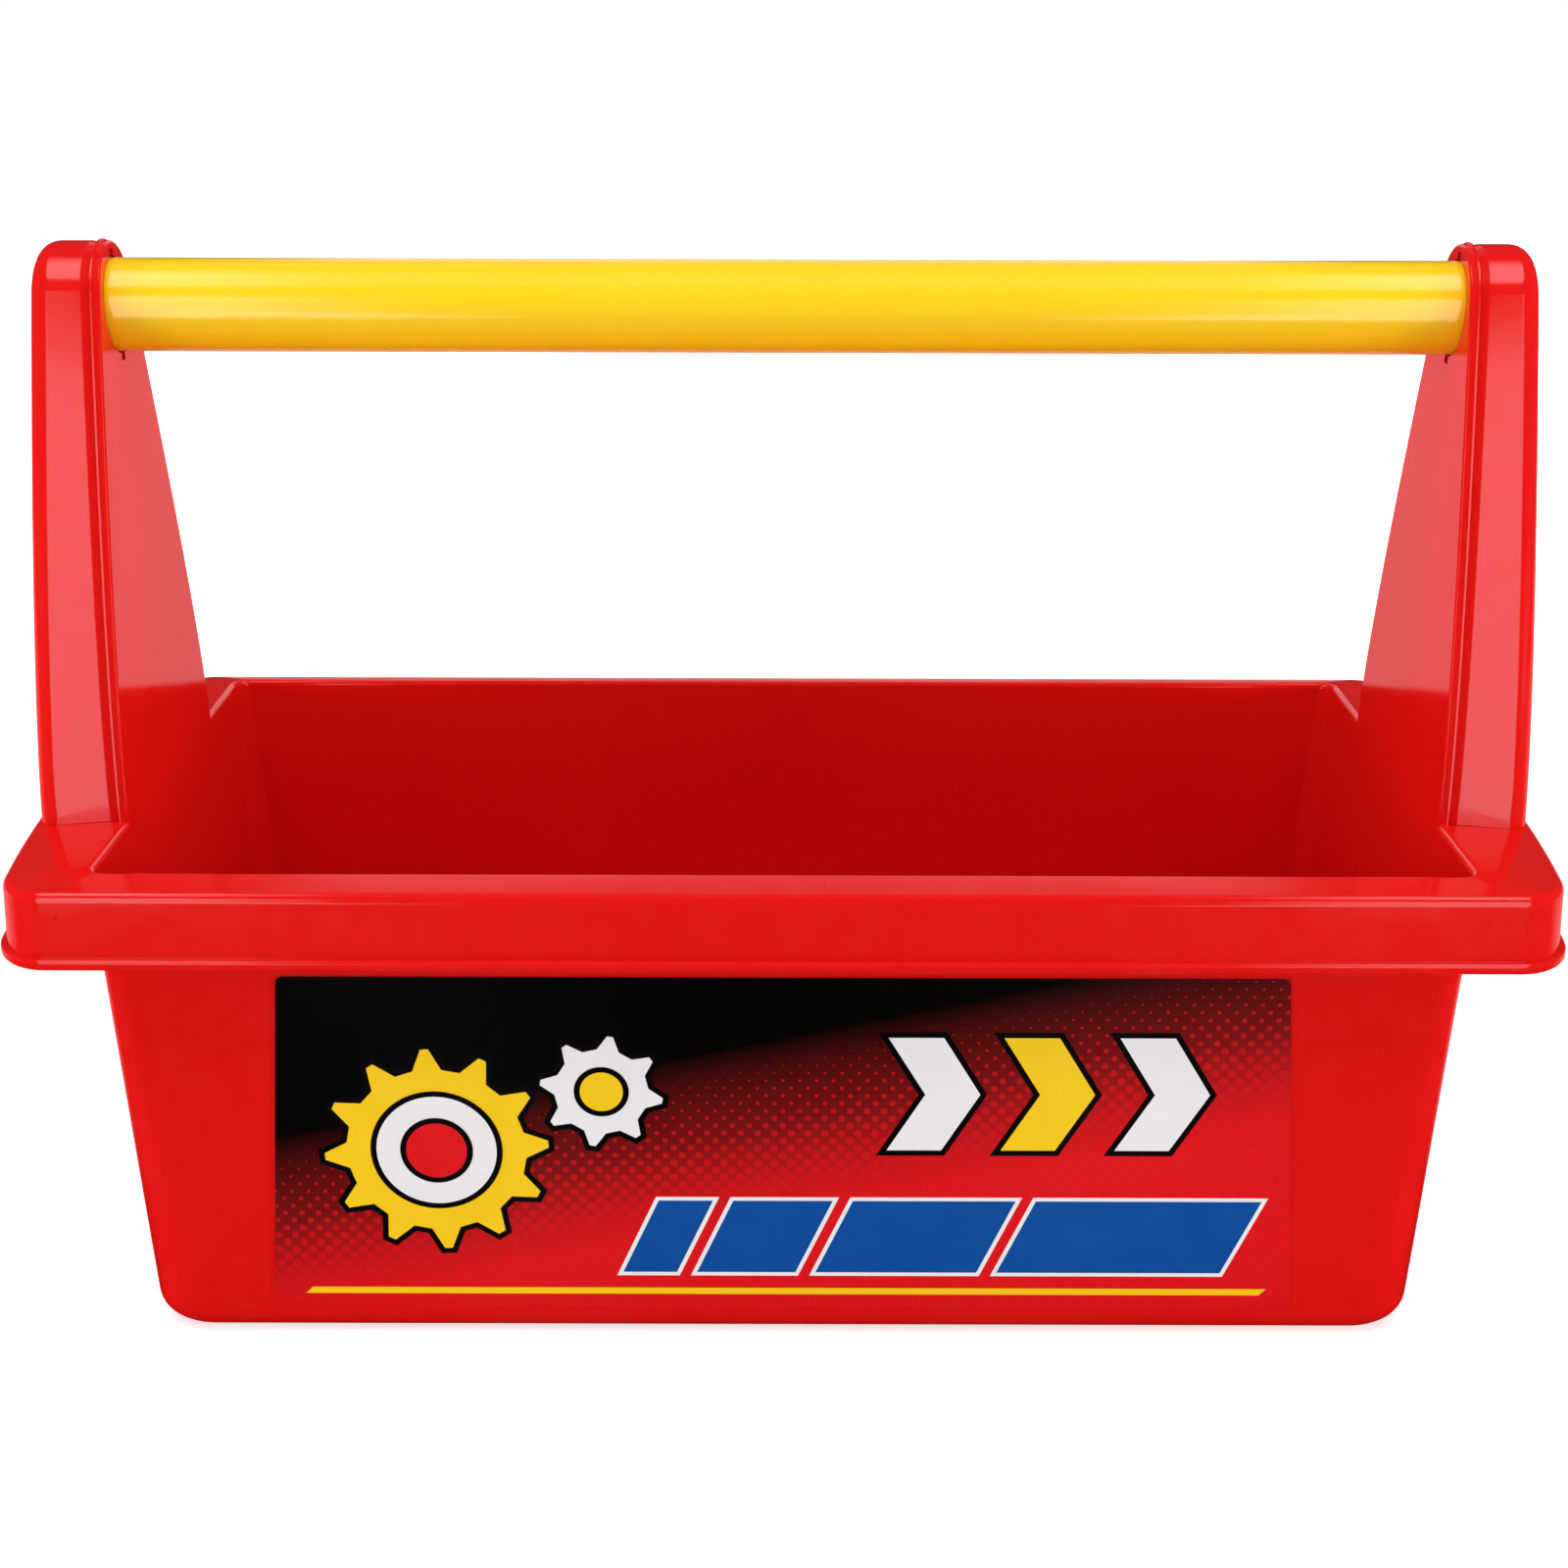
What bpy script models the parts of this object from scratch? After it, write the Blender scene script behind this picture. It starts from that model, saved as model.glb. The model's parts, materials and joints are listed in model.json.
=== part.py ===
"""Toy tool box: a tapered open tub whose end walls rise into two uprights, an outer cover on each upright,
and a round handle tube that turns in the uprights. Metres, +Z up, origin on the ground under the middle.
The long side runs along X and the labelled front faces -Y."""

import math

import bmesh
import bpy
from mathutils import Matrix, Vector

# Rim: a ledge round the mouth, with a skirt that hangs from its outer edge and ends in a lip.
# Its ends bow outwards, and its corners are drawn out along the depth.
RIM_LENGTH = 0.340
RIM_WIDTH = 0.173
RIM_HEIGHT = 0.1106
RIM_END_BOW = 0.006
RIM_CORNER_LENGTH = 0.0094
RIM_CORNER_DEPTH = 0.0134
RIM_EDGE_ROUND = 0.0025
LEDGE_THICKNESS = 0.0022
LEDGE_RISE = 0.0016
END_LEDGE_WIDTH = 0.0223
SIDE_LEDGE_WIDTH = 0.0086
SKIRT_DROP = 0.0141
SKIRT_WALL = 0.0020
SKIRT_FLARE = 0.0003
LIP_REACH = 0.0013
LIP_HEIGHT = 0.0024

# Tub: drafted walls under the ledge, a rounded foot edge and a raised middle underneath
MOUTH_FILLET = 0.0015
TUB_WALL = 0.0016
TUB_CORNER_AT_MOUTH = 0.0035
TUB_CORNER_AT_FLOOR = 0.011
FLOOR_THICKNESS = 0.0024
FLOOR_FILLET = 0.005
BASE_ROUND = 0.0068
FOOT_WIDTH = 0.008
FOOT_HEIGHT = 0.0008
TUB_DRAFT = math.radians(2.7)

# Ribs that stiffen the ledge from below
RIB_THICKNESS = 0.0018
RIB_DEPTH = 0.009
SIDE_RIB_PLACE_SHARES = (-0.84, -0.28, 0.28, 0.84)
END_RIB_PLACE_SHARES = (-0.80, 0.0, 0.80)

# Uprights: the end walls carried up to the handle
UPRIGHT_BASE_WIDTH = 0.086
UPRIGHT_TOP_RADIUS = 0.0147
UPRIGHT_TOP_SLOPE = math.radians(18.5)
UPRIGHT_BASE_SLOPE = math.radians(3.1)
PANEL_THICKNESS = 0.0022
PANEL_EDGE_ROUND = 0.0009
PANEL_ROOT = 0.003
PANEL_LEAN = math.radians(2.3)

# Handle: a tube held in a round socket in each panel
HANDLE_RISE = 0.1102
HANDLE_RADIUS = 0.0104
HANDLE_WALL = 0.0016
HANDLE_END_CHAMFER = 0.0005
HANDLE_RUNNING_GAP = 0.0004
HANDLE_END_PLAY = 0.0005
SOCKET_NOTCH_WIDTH = 0.0030
SOCKET_NOTCH_DEPTH = 0.0016

# End covers: trays that close the uprights from outside and stand on the ledge
COVER_SETBACK = 0.0028
COVER_WALL = 0.0020
COVER_ROUND = 0.0040
COVER_STEP = 0.0004
SPIGOT_LENGTH = 0.0085
SPIGOT_WALL = 0.0018
SPIGOT_FLOOR = 0.0006
CLIP_LENGTH = 0.008
CLIP_THICKNESS = 0.0022
CLIP_ROOT = 0.005
CLIP_BARB = 0.0009
CLIP_BARB_HEIGHT = 0.0028
CLIP_INSET = 0.0009

# Label: a thin printed sheet on the front wall, a little wider at its foot
LABEL_TOP_WIDTH = 0.2170
LABEL_FOOT_WIDTH = 0.2288
LABEL_HEIGHT = 0.0814
LABEL_CORNER = 0.0013
LABEL_THICKNESS = 0.00025
LABEL_LIFT = 0.0001
LABEL_ABOVE_FOOT_ROUND = 0.0006

# Shared fit and cut sizes
FIT_GAP = 0.0003
CUT_OVERRUN = 0.004
JOIN_OVERLAP = 0.001
WELD_DISTANCE = 0.00001

# Facet counts
CORNER_STEPS = 6
END_STEPS = 10
EDGE_STEPS = 4
FLANK_STEPS = 10
TOP_STEPS = 12
ROUND_STEPS = 48

HALF_TURN = math.pi
QUARTER_TURN = math.pi / 2
SMOOTH_ANGLE = math.radians(32)

# Places that follow from the sizes above
LEDGE_TOP = RIM_HEIGHT + LEDGE_RISE
MOUTH_HEIGHT = LEDGE_TOP - MOUTH_FILLET
MOUTH_HALF_LENGTH = RIM_LENGTH / 2 - END_LEDGE_WIDTH - MOUTH_FILLET
MOUTH_HALF_WIDTH = RIM_WIDTH / 2 - SIDE_LEDGE_WIDTH - MOUTH_FILLET
HANDLE_HEIGHT = RIM_HEIGHT + HANDLE_RISE
SOCKET_RADIUS = HANDLE_RADIUS + HANDLE_RUNNING_GAP
COVER_FACE = RIM_LENGTH / 2 - COVER_SETBACK
SKIRT_FOOT = RIM_HEIGHT - SKIRT_DROP - LIP_HEIGHT

# Turns an outline drawn flat as (y, z) upright, so that its thickness lies along X
OUTLINE_UPRIGHT = Matrix(((0, 0, 1, 0), (1, 0, 0, 0), (0, 1, 0, 0), (0, 0, 0, 1)))


def clear_scene():
    for item in list(bpy.data.objects):
        bpy.data.objects.remove(item, do_unlink=True)


def make_collection(name):
    collection = bpy.data.collections.new(name)
    bpy.context.scene.collection.children.link(collection)
    return collection


def make_material(name, colour, roughness, metallic=0.0):
    material = bpy.data.materials.new(name)
    material.use_nodes = True
    shader = material.node_tree.nodes["Principled BSDF"]
    shader.inputs["Base Color"].default_value = (*colour, 1.0)
    shader.inputs["Roughness"].default_value = roughness
    shader.inputs["Metallic"].default_value = metallic
    return material


def red_polypropylene():
    return make_material("red_polypropylene", (0.70, 0.008, 0.006), 0.18)


def yellow_polypropylene():
    return make_material("yellow_polypropylene", (1.0, 0.56, 0.012), 0.32)


def printed_vinyl():
    return make_material("printed_vinyl", (0.05, 0.05, 0.08), 0.35)


def link_mesh(name, mesh_builder, collection, material=None):
    """Turns a finished bmesh into a named object, shaded smooth over its shallow edges."""
    mesh = bpy.data.meshes.new(name)
    mesh_builder.to_mesh(mesh)
    mesh_builder.free()
    if material:
        mesh.materials.append(material)
    mesh.shade_smooth()
    mesh.set_sharp_from_angle(angle=SMOOTH_ANGLE)
    item = bpy.data.objects.new(name, mesh)
    collection.objects.link(item)
    return item


def mark_as_cutter(item):
    item.hide_render = True
    item.display_type = "WIRE"
    return item


def add_boolean(item, tool, operation):
    modifier = item.modifiers.new(tool.name, "BOOLEAN")
    modifier.object = tool
    modifier.operation = operation
    modifier.solver = "EXACT"


def box_builder(low, high):
    """A box primitive between two corners."""
    builder = bmesh.new()
    bmesh.ops.create_cube(builder, size=1.0)
    size = Vector(high) - Vector(low)
    middle = (Vector(high) + Vector(low)) / 2
    builder.transform(Matrix.Translation(middle) @ Matrix.Diagonal((*size, 1.0)))
    return builder


def boxes_builder(boxes):
    """Several separate boxes in one mesh, for one Boolean."""
    builder = bmesh.new()
    for low, high in boxes:
        part = box_builder(low, high)
        mesh = bpy.data.meshes.new("box")
        part.to_mesh(mesh)
        part.free()
        builder.from_mesh(mesh)
        bpy.data.meshes.remove(mesh)
    return builder


def cylinder_along_x(radius, start, end, height):
    """A cylinder primitive whose axis lies along X at the given height."""
    builder = bmesh.new()
    bmesh.ops.create_cone(builder, cap_ends=True, segments=ROUND_STEPS,
                          radius1=radius, radius2=radius, depth=end - start)
    builder.transform(Matrix.Translation(((start + end) / 2, 0, height))
                      @ Matrix.Rotation(QUARTER_TURN, 4, "Y"))
    return builder


def flat_outline_object(name, points, thickness, edge_round, collection):
    """A filled 2D curve as a plate in its own XY plane, its edges rounded, made a welded mesh."""
    curve = bpy.data.curves.new(name, "CURVE")
    curve.dimensions = "2D"
    curve.fill_mode = "BOTH"
    curve.extrude = thickness / 2 - edge_round
    curve.bevel_depth = edge_round
    curve.bevel_resolution = 1
    curve.offset = -edge_round
    spline = curve.splines.new("POLY")
    spline.points.add(len(points) - 1)
    for point, (x, y) in zip(spline.points, points):
        point.co = (x, y, 0, 1)
    spline.use_cyclic_u = True
    drawn = bpy.data.objects.new(name + "_outline", curve)
    collection.objects.link(drawn)
    depsgraph = bpy.context.evaluated_depsgraph_get()
    mesh = bpy.data.meshes.new_from_object(drawn.evaluated_get(depsgraph))
    bpy.data.objects.remove(drawn, do_unlink=True)
    builder = bmesh.new()
    builder.from_mesh(mesh)
    bpy.data.meshes.remove(mesh)
    bmesh.ops.remove_doubles(builder, verts=builder.verts, dist=WELD_DISTANCE)
    bmesh.ops.recalc_face_normals(builder, faces=builder.faces)
    return link_mesh(name, builder, collection)


def rounded_ring(half_length, half_width, corner, height, corner_depth=None, bow=0):
    """A rounded rectangle's points at one height, anticlockwise from above. Its ends can bow outwards."""
    depth = corner_depth or corner
    points = []
    for quarter, (side_x, side_y) in enumerate(((1, 1), (-1, 1), (-1, -1), (1, -1))):
        for step in range(CORNER_STEPS + 1):
            angle = (quarter + step / CORNER_STEPS) * QUARTER_TURN
            points.append((side_x * (half_length - corner) + corner * math.cos(angle),
                           side_y * (half_width - depth) + depth * math.sin(angle)))
        for step in range(1, END_STEPS if side_x != side_y else 0):
            share = 1 - 2 * step / END_STEPS
            points.append((side_x * half_length, -side_x * share * (half_width - depth)))
    return [(x + math.copysign(bow, x) * (1 - (y / half_width) ** 2), y, height) for x, y in points]


def loft_rings(rings):
    """Skins a run of rings and closes its first and last one."""
    builder = bmesh.new()
    rows = [[builder.verts.new(point) for point in ring] for ring in rings]
    for row, following in zip(rows, rows[1:]):
        for index in range(len(row)):
            after = (index + 1) % len(row)
            builder.faces.new((row[index], row[after], following[after], following[index]))
    builder.faces.new(reversed(rows[0]))
    builder.faces.new(rows[-1])
    return builder


def rim_ring(offset, height):
    """A ring that follows the rim's outer outline, moved outwards by the offset."""
    return rounded_ring(RIM_LENGTH / 2 - RIM_END_BOW + offset, RIM_WIDTH / 2 + offset,
                        RIM_CORNER_LENGTH + offset, height, RIM_CORNER_DEPTH + offset, RIM_END_BOW)


def rim_reach_at(y):
    """How far the rim's bowed end reaches from the middle at one place across it."""
    return RIM_LENGTH / 2 - RIM_END_BOW * (y / (RIM_WIDTH / 2)) ** 2


def wall_ring(offset, height, inset=0):
    """A ring on the tub's drafted inner wall at one height, moved outwards by the offset."""
    depth = MOUTH_HEIGHT - height
    share = max(0.0, depth / (MOUTH_HEIGHT - FLOOR_THICKNESS))
    corner = TUB_CORNER_AT_MOUTH + (TUB_CORNER_AT_FLOOR - TUB_CORNER_AT_MOUTH) * share
    narrowing = depth * math.tan(TUB_DRAFT) + inset
    return rounded_ring(MOUTH_HALF_LENGTH + offset - narrowing, MOUTH_HALF_WIDTH + offset - narrowing,
                        corner + offset - inset, height)


def foot_rings():
    """From the raised middle of the underside, over the foot and round the base edge."""
    inner = BASE_ROUND + FOOT_WIDTH
    rings = [rounded_ring(*foot_outline(inner + FOOT_HEIGHT), FOOT_HEIGHT),
             rounded_ring(*foot_outline(inner), 0)]
    for step in range(EDGE_STEPS):
        angle = (QUARTER_TURN - TUB_DRAFT) * step / EDGE_STEPS
        rings.append(wall_ring(TUB_WALL, BASE_ROUND * (1 - math.cos(angle)),
                               BASE_ROUND * (1 - math.sin(angle))))
    return rings


def foot_outline(inset):
    """Half length, half width and corner of the outer wall at the ground, moved inwards."""
    narrowing = MOUTH_HEIGHT * math.tan(TUB_DRAFT)
    corner = TUB_CORNER_AT_FLOOR + TUB_WALL - min(inset, BASE_ROUND)
    return (MOUTH_HALF_LENGTH + TUB_WALL - narrowing - inset,
            MOUTH_HALF_WIDTH + TUB_WALL - narrowing - inset, corner)


def skirt_rings():
    """Under the ledge, down inside the skirt, round the lip and up to the rim's top edge."""
    lip_round = LIP_HEIGHT / 2
    flare = SKIRT_FLARE
    rings = [wall_ring(TUB_WALL, RIM_HEIGHT - LEDGE_THICKNESS),
             rim_ring(-SKIRT_WALL, RIM_HEIGHT - LEDGE_THICKNESS),
             rim_ring(flare - SKIRT_WALL, SKIRT_FOOT)]
    for step in range(2 * EDGE_STEPS + 1):
        angle = HALF_TURN * step / (2 * EDGE_STEPS) - QUARTER_TURN
        rings.append(rim_ring(flare + (LIP_REACH - lip_round) + lip_round * math.cos(angle),
                              SKIRT_FOOT + lip_round + lip_round * math.sin(angle)))
    rings.append(rim_ring(flare, SKIRT_FOOT + LIP_HEIGHT))
    for step in range(EDGE_STEPS + 1):
        angle = QUARTER_TURN * step / EDGE_STEPS
        rings.append(rim_ring(RIM_EDGE_ROUND * (math.cos(angle) - 1),
                              RIM_HEIGHT + RIM_EDGE_ROUND * (math.sin(angle) - 1)))
    return rings


def mouth_rings():
    """From the ledge over the mouth's fillet, down the inner wall and round to the floor."""
    rings = []
    for step in range(EDGE_STEPS + 1):
        angle = (QUARTER_TURN - TUB_DRAFT) * step / EDGE_STEPS
        rings.append(rounded_ring(MOUTH_HALF_LENGTH + MOUTH_FILLET * (1 - math.sin(angle)),
                                  MOUTH_HALF_WIDTH + MOUTH_FILLET * (1 - math.sin(angle)),
                                  TUB_CORNER_AT_MOUTH + MOUTH_FILLET * (1 - math.sin(angle)),
                                  MOUTH_HEIGHT + MOUTH_FILLET * math.cos(angle)))
    for step in range(EDGE_STEPS + 1):
        angle = TUB_DRAFT + (QUARTER_TURN - TUB_DRAFT) * step / EDGE_STEPS
        rings.append(wall_ring(0, FLOOR_THICKNESS + FLOOR_FILLET * (1 - math.sin(angle)),
                               FLOOR_FILLET * (1 - math.cos(angle))))
    return rings


def make_tub(parts, tools, material):
    rings = foot_rings() + [wall_ring(TUB_WALL, BASE_ROUND)] + skirt_rings() + mouth_rings()
    tub = link_mesh("tub", loft_rings(rings), parts, material)
    for side, name in ((1, "right_panel"), (-1, "left_panel")):
        add_boolean(tub, make_panel(name, side, tools), "UNION")
    add_boolean(tub, make_ribs(tools), "UNION")
    add_boolean(tub, make_socket_bore(tools), "DIFFERENCE")
    add_boolean(tub, make_socket_notches(tools), "DIFFERENCE")
    add_boolean(tub, make_clip_slots(tools), "DIFFERENCE")
    return tub


def upright_flank(inset, base_height):
    """One flank of an upright as (y, z) points from its base to where the round top begins."""
    radius = UPRIGHT_TOP_RADIUS - inset
    base = Vector((UPRIGHT_BASE_WIDTH / 2 - inset, base_height))
    top = Vector((radius * math.cos(UPRIGHT_TOP_SLOPE), HANDLE_HEIGHT + radius * math.sin(UPRIGHT_TOP_SLOPE)))
    base_run = math.tan(UPRIGHT_BASE_SLOPE)
    top_run = math.tan(UPRIGHT_TOP_SLOPE)
    bend_height = (top.x - base.x + top_run * top.y - base_run * base.y) / (top_run - base_run)
    bend = Vector((base.x - base_run * (bend_height - base.y), bend_height))
    points = []
    for step in range(FLANK_STEPS):
        share = step / FLANK_STEPS
        points.append(base * (1 - share) ** 2 + bend * 2 * share * (1 - share) + top * share ** 2)
    return points


def upright_outline(inset, base_height):
    """The whole upright outline as (y, z) points: up the +Y flank, over the round top and down the other."""
    flank = upright_flank(inset, base_height)
    radius = UPRIGHT_TOP_RADIUS - inset
    crown = []
    for step in range(TOP_STEPS + 1):
        angle = UPRIGHT_TOP_SLOPE + (HALF_TURN - 2 * UPRIGHT_TOP_SLOPE) * step / TOP_STEPS
        crown.append(Vector((radius * math.cos(angle), HANDLE_HEIGHT + radius * math.sin(angle))))
    mirrored = [Vector((-point.x, point.y)) for point in reversed(flank)]
    return flank + crown + mirrored


def panel_face_at(height):
    """The distance from the middle to an upright's inner face at one height."""
    return MOUTH_HALF_LENGTH + (height - MOUTH_HEIGHT) * math.tan(PANEL_LEAN)


def make_panel(name, side, tools):
    """The plate that carries an end wall up to the handle. It leans outwards and is rooted in the wall."""
    outline = upright_outline(0, LEDGE_TOP)
    root = MOUTH_HEIGHT - PANEL_ROOT
    points = [Vector((outline[0].x, root)), *outline, Vector((outline[-1].x, root))]
    local = [(point.x, point.y - MOUTH_HEIGHT) for point in points]
    panel = flat_outline_object(name, local, PANEL_THICKNESS, PANEL_EDGE_ROUND, tools)
    lean = Matrix.Rotation(PANEL_LEAN, 4, "Y")
    seat = Matrix.Translation((MOUTH_HALF_LENGTH, 0, MOUTH_HEIGHT))
    shift = Matrix.Translation((PANEL_THICKNESS / 2, 0, 0))
    turn = Matrix.Rotation(0 if side > 0 else HALF_TURN, 4, "Z")
    panel.matrix_world = turn @ seat @ lean @ shift @ OUTLINE_UPRIGHT
    return mark_as_cutter(panel)


def make_ribs(tools):
    """Upright webs in the channel between the skirt and the tub, rooted in both and in the ledge."""
    top = RIM_HEIGHT - LEDGE_THICKNESS + JOIN_OVERLAP
    bottom = top - RIB_DEPTH
    side_in = MOUTH_HALF_WIDTH + TUB_WALL - JOIN_OVERLAP
    side_out = RIM_WIDTH / 2 - SKIRT_WALL + JOIN_OVERLAP
    end_in = MOUTH_HALF_LENGTH + TUB_WALL - JOIN_OVERLAP
    half = RIB_THICKNESS / 2
    boxes = []
    for share in SIDE_RIB_PLACE_SHARES:
        x = share * MOUTH_HALF_LENGTH
        boxes.append(((x - half, side_in, bottom), (x + half, side_out, top)))
        boxes.append(((x - half, -side_out, bottom), (x + half, -side_in, top)))
    for share in END_RIB_PLACE_SHARES:
        y = share * MOUTH_HALF_WIDTH
        end_out = rim_reach_at(y) - SKIRT_WALL + JOIN_OVERLAP
        boxes.append(((end_in, y - half, bottom), (end_out, y + half, top)))
        boxes.append(((-end_out, y - half, bottom), (-end_in, y + half, top)))
    return mark_as_cutter(link_mesh("ledge_ribs", boxes_builder(boxes), tools))


def make_socket_bore(tools):
    reach = panel_face_at(HANDLE_HEIGHT) + PANEL_THICKNESS + CUT_OVERRUN
    bore = cylinder_along_x(SOCKET_RADIUS, -reach, reach, HANDLE_HEIGHT)
    return mark_as_cutter(link_mesh("socket_bore", bore, tools))


def make_socket_notches(tools):
    """One flat bar that cuts the small notch above and below the handle in both panels."""
    reach = panel_face_at(HANDLE_HEIGHT) + PANEL_THICKNESS + CUT_OVERRUN
    half = SOCKET_NOTCH_WIDTH / 2
    rise = SOCKET_RADIUS + SOCKET_NOTCH_DEPTH
    builder = box_builder((-reach, -half, HANDLE_HEIGHT - rise), (reach, half, HANDLE_HEIGHT + rise))
    return mark_as_cutter(link_mesh("socket_notches", builder, tools))


def clip_span():
    """Where a cover's clips lie along X, and their two faces across Y on the +Y side."""
    middle = (panel_face_at(LEDGE_TOP) + PANEL_THICKNESS + COVER_FACE - COVER_ROUND) / 2
    outer = UPRIGHT_BASE_WIDTH / 2 - COVER_STEP - CLIP_INSET
    return middle - CLIP_LENGTH / 2, middle + CLIP_LENGTH / 2, outer - CLIP_THICKNESS, outer


def make_clip_slots(tools):
    """Slots through the ledge that the covers' clips pass."""
    start, end, inner, outer = clip_span()
    low = RIM_HEIGHT - LEDGE_THICKNESS - CUT_OVERRUN
    high = LEDGE_TOP + CUT_OVERRUN
    gap = FIT_GAP
    boxes = []
    for side in (1, -1):
        for face in (1, -1):
            xs = sorted((side * (start - gap), side * (end + gap)))
            ys = sorted((face * (inner - gap), face * (outer + gap)))
            boxes.append(((xs[0], ys[0], low), (xs[1], ys[1], high)))
    return mark_as_cutter(link_mesh("clip_slots", boxes_builder(boxes), tools))


def ledge_height_at(x):
    """The height of the end ledge's sloping top at a distance from the middle."""
    inner = MOUTH_HALF_LENGTH + MOUTH_FILLET
    outer = RIM_LENGTH / 2 - RIM_EDGE_ROUND
    return LEDGE_TOP - LEDGE_RISE * (x - inner) / (outer - inner)


def cover_surface():
    """The cover's outer skin as an open tray: the outer face, and walls that reach in to the panel."""
    builder = bmesh.new()
    face_base = ledge_height_at(COVER_FACE) + FIT_GAP
    wall_base = ledge_height_at(MOUTH_HALF_LENGTH + MOUTH_FILLET) + FIT_GAP
    face_row = [builder.verts.new((COVER_FACE, point.x, point.y))
                for point in upright_outline(2 * COVER_STEP, face_base)]
    wall_row = []
    for point in upright_outline(COVER_STEP, wall_base):
        x = panel_face_at(point.y) + (PANEL_THICKNESS + FIT_GAP) / math.cos(PANEL_LEAN)
        wall_row.append(builder.verts.new((x, point.x, point.y)))
    builder.faces.new(face_row)
    weight = builder.edges.layers.float.new("bevel_weight_edge")
    for index in range(len(face_row) - 1):
        builder.faces.new((face_row[index + 1], face_row[index], wall_row[index], wall_row[index + 1]))
        builder.edges.get((face_row[index], face_row[index + 1]))[weight] = 1.0
    return builder


def make_spigot(name, tools):
    """The round boss that the open end of the handle tube fits over."""
    radius = HANDLE_RADIUS - HANDLE_WALL - HANDLE_RUNNING_GAP
    end = COVER_FACE - COVER_WALL + JOIN_OVERLAP
    start = COVER_FACE - COVER_WALL - SPIGOT_LENGTH
    return mark_as_cutter(link_mesh(name, cylinder_along_x(radius, start, end, HANDLE_HEIGHT), tools))


def make_spigot_bore(name, tools):
    radius = HANDLE_RADIUS - HANDLE_WALL - HANDLE_RUNNING_GAP - SPIGOT_WALL
    start = COVER_FACE - COVER_WALL - SPIGOT_LENGTH - CUT_OVERRUN
    end = COVER_FACE - COVER_WALL - SPIGOT_FLOOR
    return mark_as_cutter(link_mesh(name, cylinder_along_x(radius, start, end, HANDLE_HEIGHT), tools))


def make_clip(name, face, tools):
    """A tongue at the foot of a cover wall, with a barb that hooks under the ledge."""
    start, end, inner, outer = clip_span()
    top = LEDGE_TOP + CLIP_ROOT
    barb_top = RIM_HEIGHT - LEDGE_THICKNESS - FIT_GAP
    foot = barb_top - CLIP_BARB_HEIGHT
    points = [(outer, top), (inner, top), (inner, barb_top), (inner - CLIP_BARB, barb_top), (inner, foot),
              (outer, foot)]
    clip = flat_outline_object(name, points, end - start, 0, tools)
    mirror = Matrix.Rotation(0 if face > 0 else HALF_TURN, 4, "Z")
    recentre = Matrix.Translation(((start + end) / 2, 0, 0))
    clip.matrix_world = recentre @ mirror @ OUTLINE_UPRIGHT
    return mark_as_cutter(clip)


def make_cover(name, side, parts, tools, material):
    """Both covers are the same moulding. The left one is turned half round."""
    turn = Matrix.Rotation(0 if side > 0 else HALF_TURN, 4, "Z")
    cover = link_mesh(name, cover_surface(), parts, material)
    bevel = cover.modifiers.new("outer_edge", "BEVEL")
    bevel.limit_method = "WEIGHT"
    bevel.width = COVER_ROUND
    bevel.segments = EDGE_STEPS
    shell = cover.modifiers.new("wall", "SOLIDIFY")
    shell.thickness = COVER_WALL
    shell.offset = -1
    shell.use_even_offset = True
    pieces = [make_clip(name + "_front_clip", -1, tools), make_clip(name + "_back_clip", 1, tools),
              make_spigot(name + "_spigot", tools)]
    bore = make_spigot_bore(name + "_spigot_bore", tools)
    for piece in pieces:
        add_boolean(cover, piece, "UNION")
    add_boolean(cover, bore, "DIFFERENCE")
    for item in (cover, bore, *pieces):
        item.matrix_world = turn @ item.matrix_world
    return cover


def make_handle(parts, material):
    """The handle tube, turned about its own axis: a closed wall section carried round by a Screw."""
    half = COVER_FACE - COVER_WALL - HANDLE_END_PLAY
    outer = HANDLE_RADIUS
    inner = HANDLE_RADIUS - HANDLE_WALL
    chamfer = HANDLE_END_CHAMFER
    section = [(outer, half - chamfer), (outer, chamfer - half), (outer - chamfer, -half), (inner, -half),
               (inner, half), (outer - chamfer, half)]
    builder = bmesh.new()
    row = [builder.verts.new((x, 0, z)) for x, z in section]
    for index, vertex in enumerate(row):
        builder.edges.new((vertex, row[(index + 1) % len(row)]))
    handle = link_mesh("handle_bar", builder, parts, material)
    screw = handle.modifiers.new("turned", "SCREW")
    screw.steps = ROUND_STEPS
    screw.render_steps = ROUND_STEPS
    screw.use_merge_vertices = True
    screw.merge_threshold = WELD_DISTANCE
    screw.use_smooth_shade = True
    handle.rotation_euler = (0, QUARTER_TURN, 0)
    return handle


def label_outline():
    """The label's flat outline as (x, y) points round its middle, its width growing evenly to its foot."""
    middle_width = (LABEL_TOP_WIDTH + LABEL_FOOT_WIDTH) / 2
    ring = rounded_ring(middle_width / 2, LABEL_HEIGHT / 2, LABEL_CORNER, 0)
    return [(x * (1 + (LABEL_TOP_WIDTH / middle_width - 1) * 2 * y / LABEL_HEIGHT), y) for x, y, _ in ring]


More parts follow.
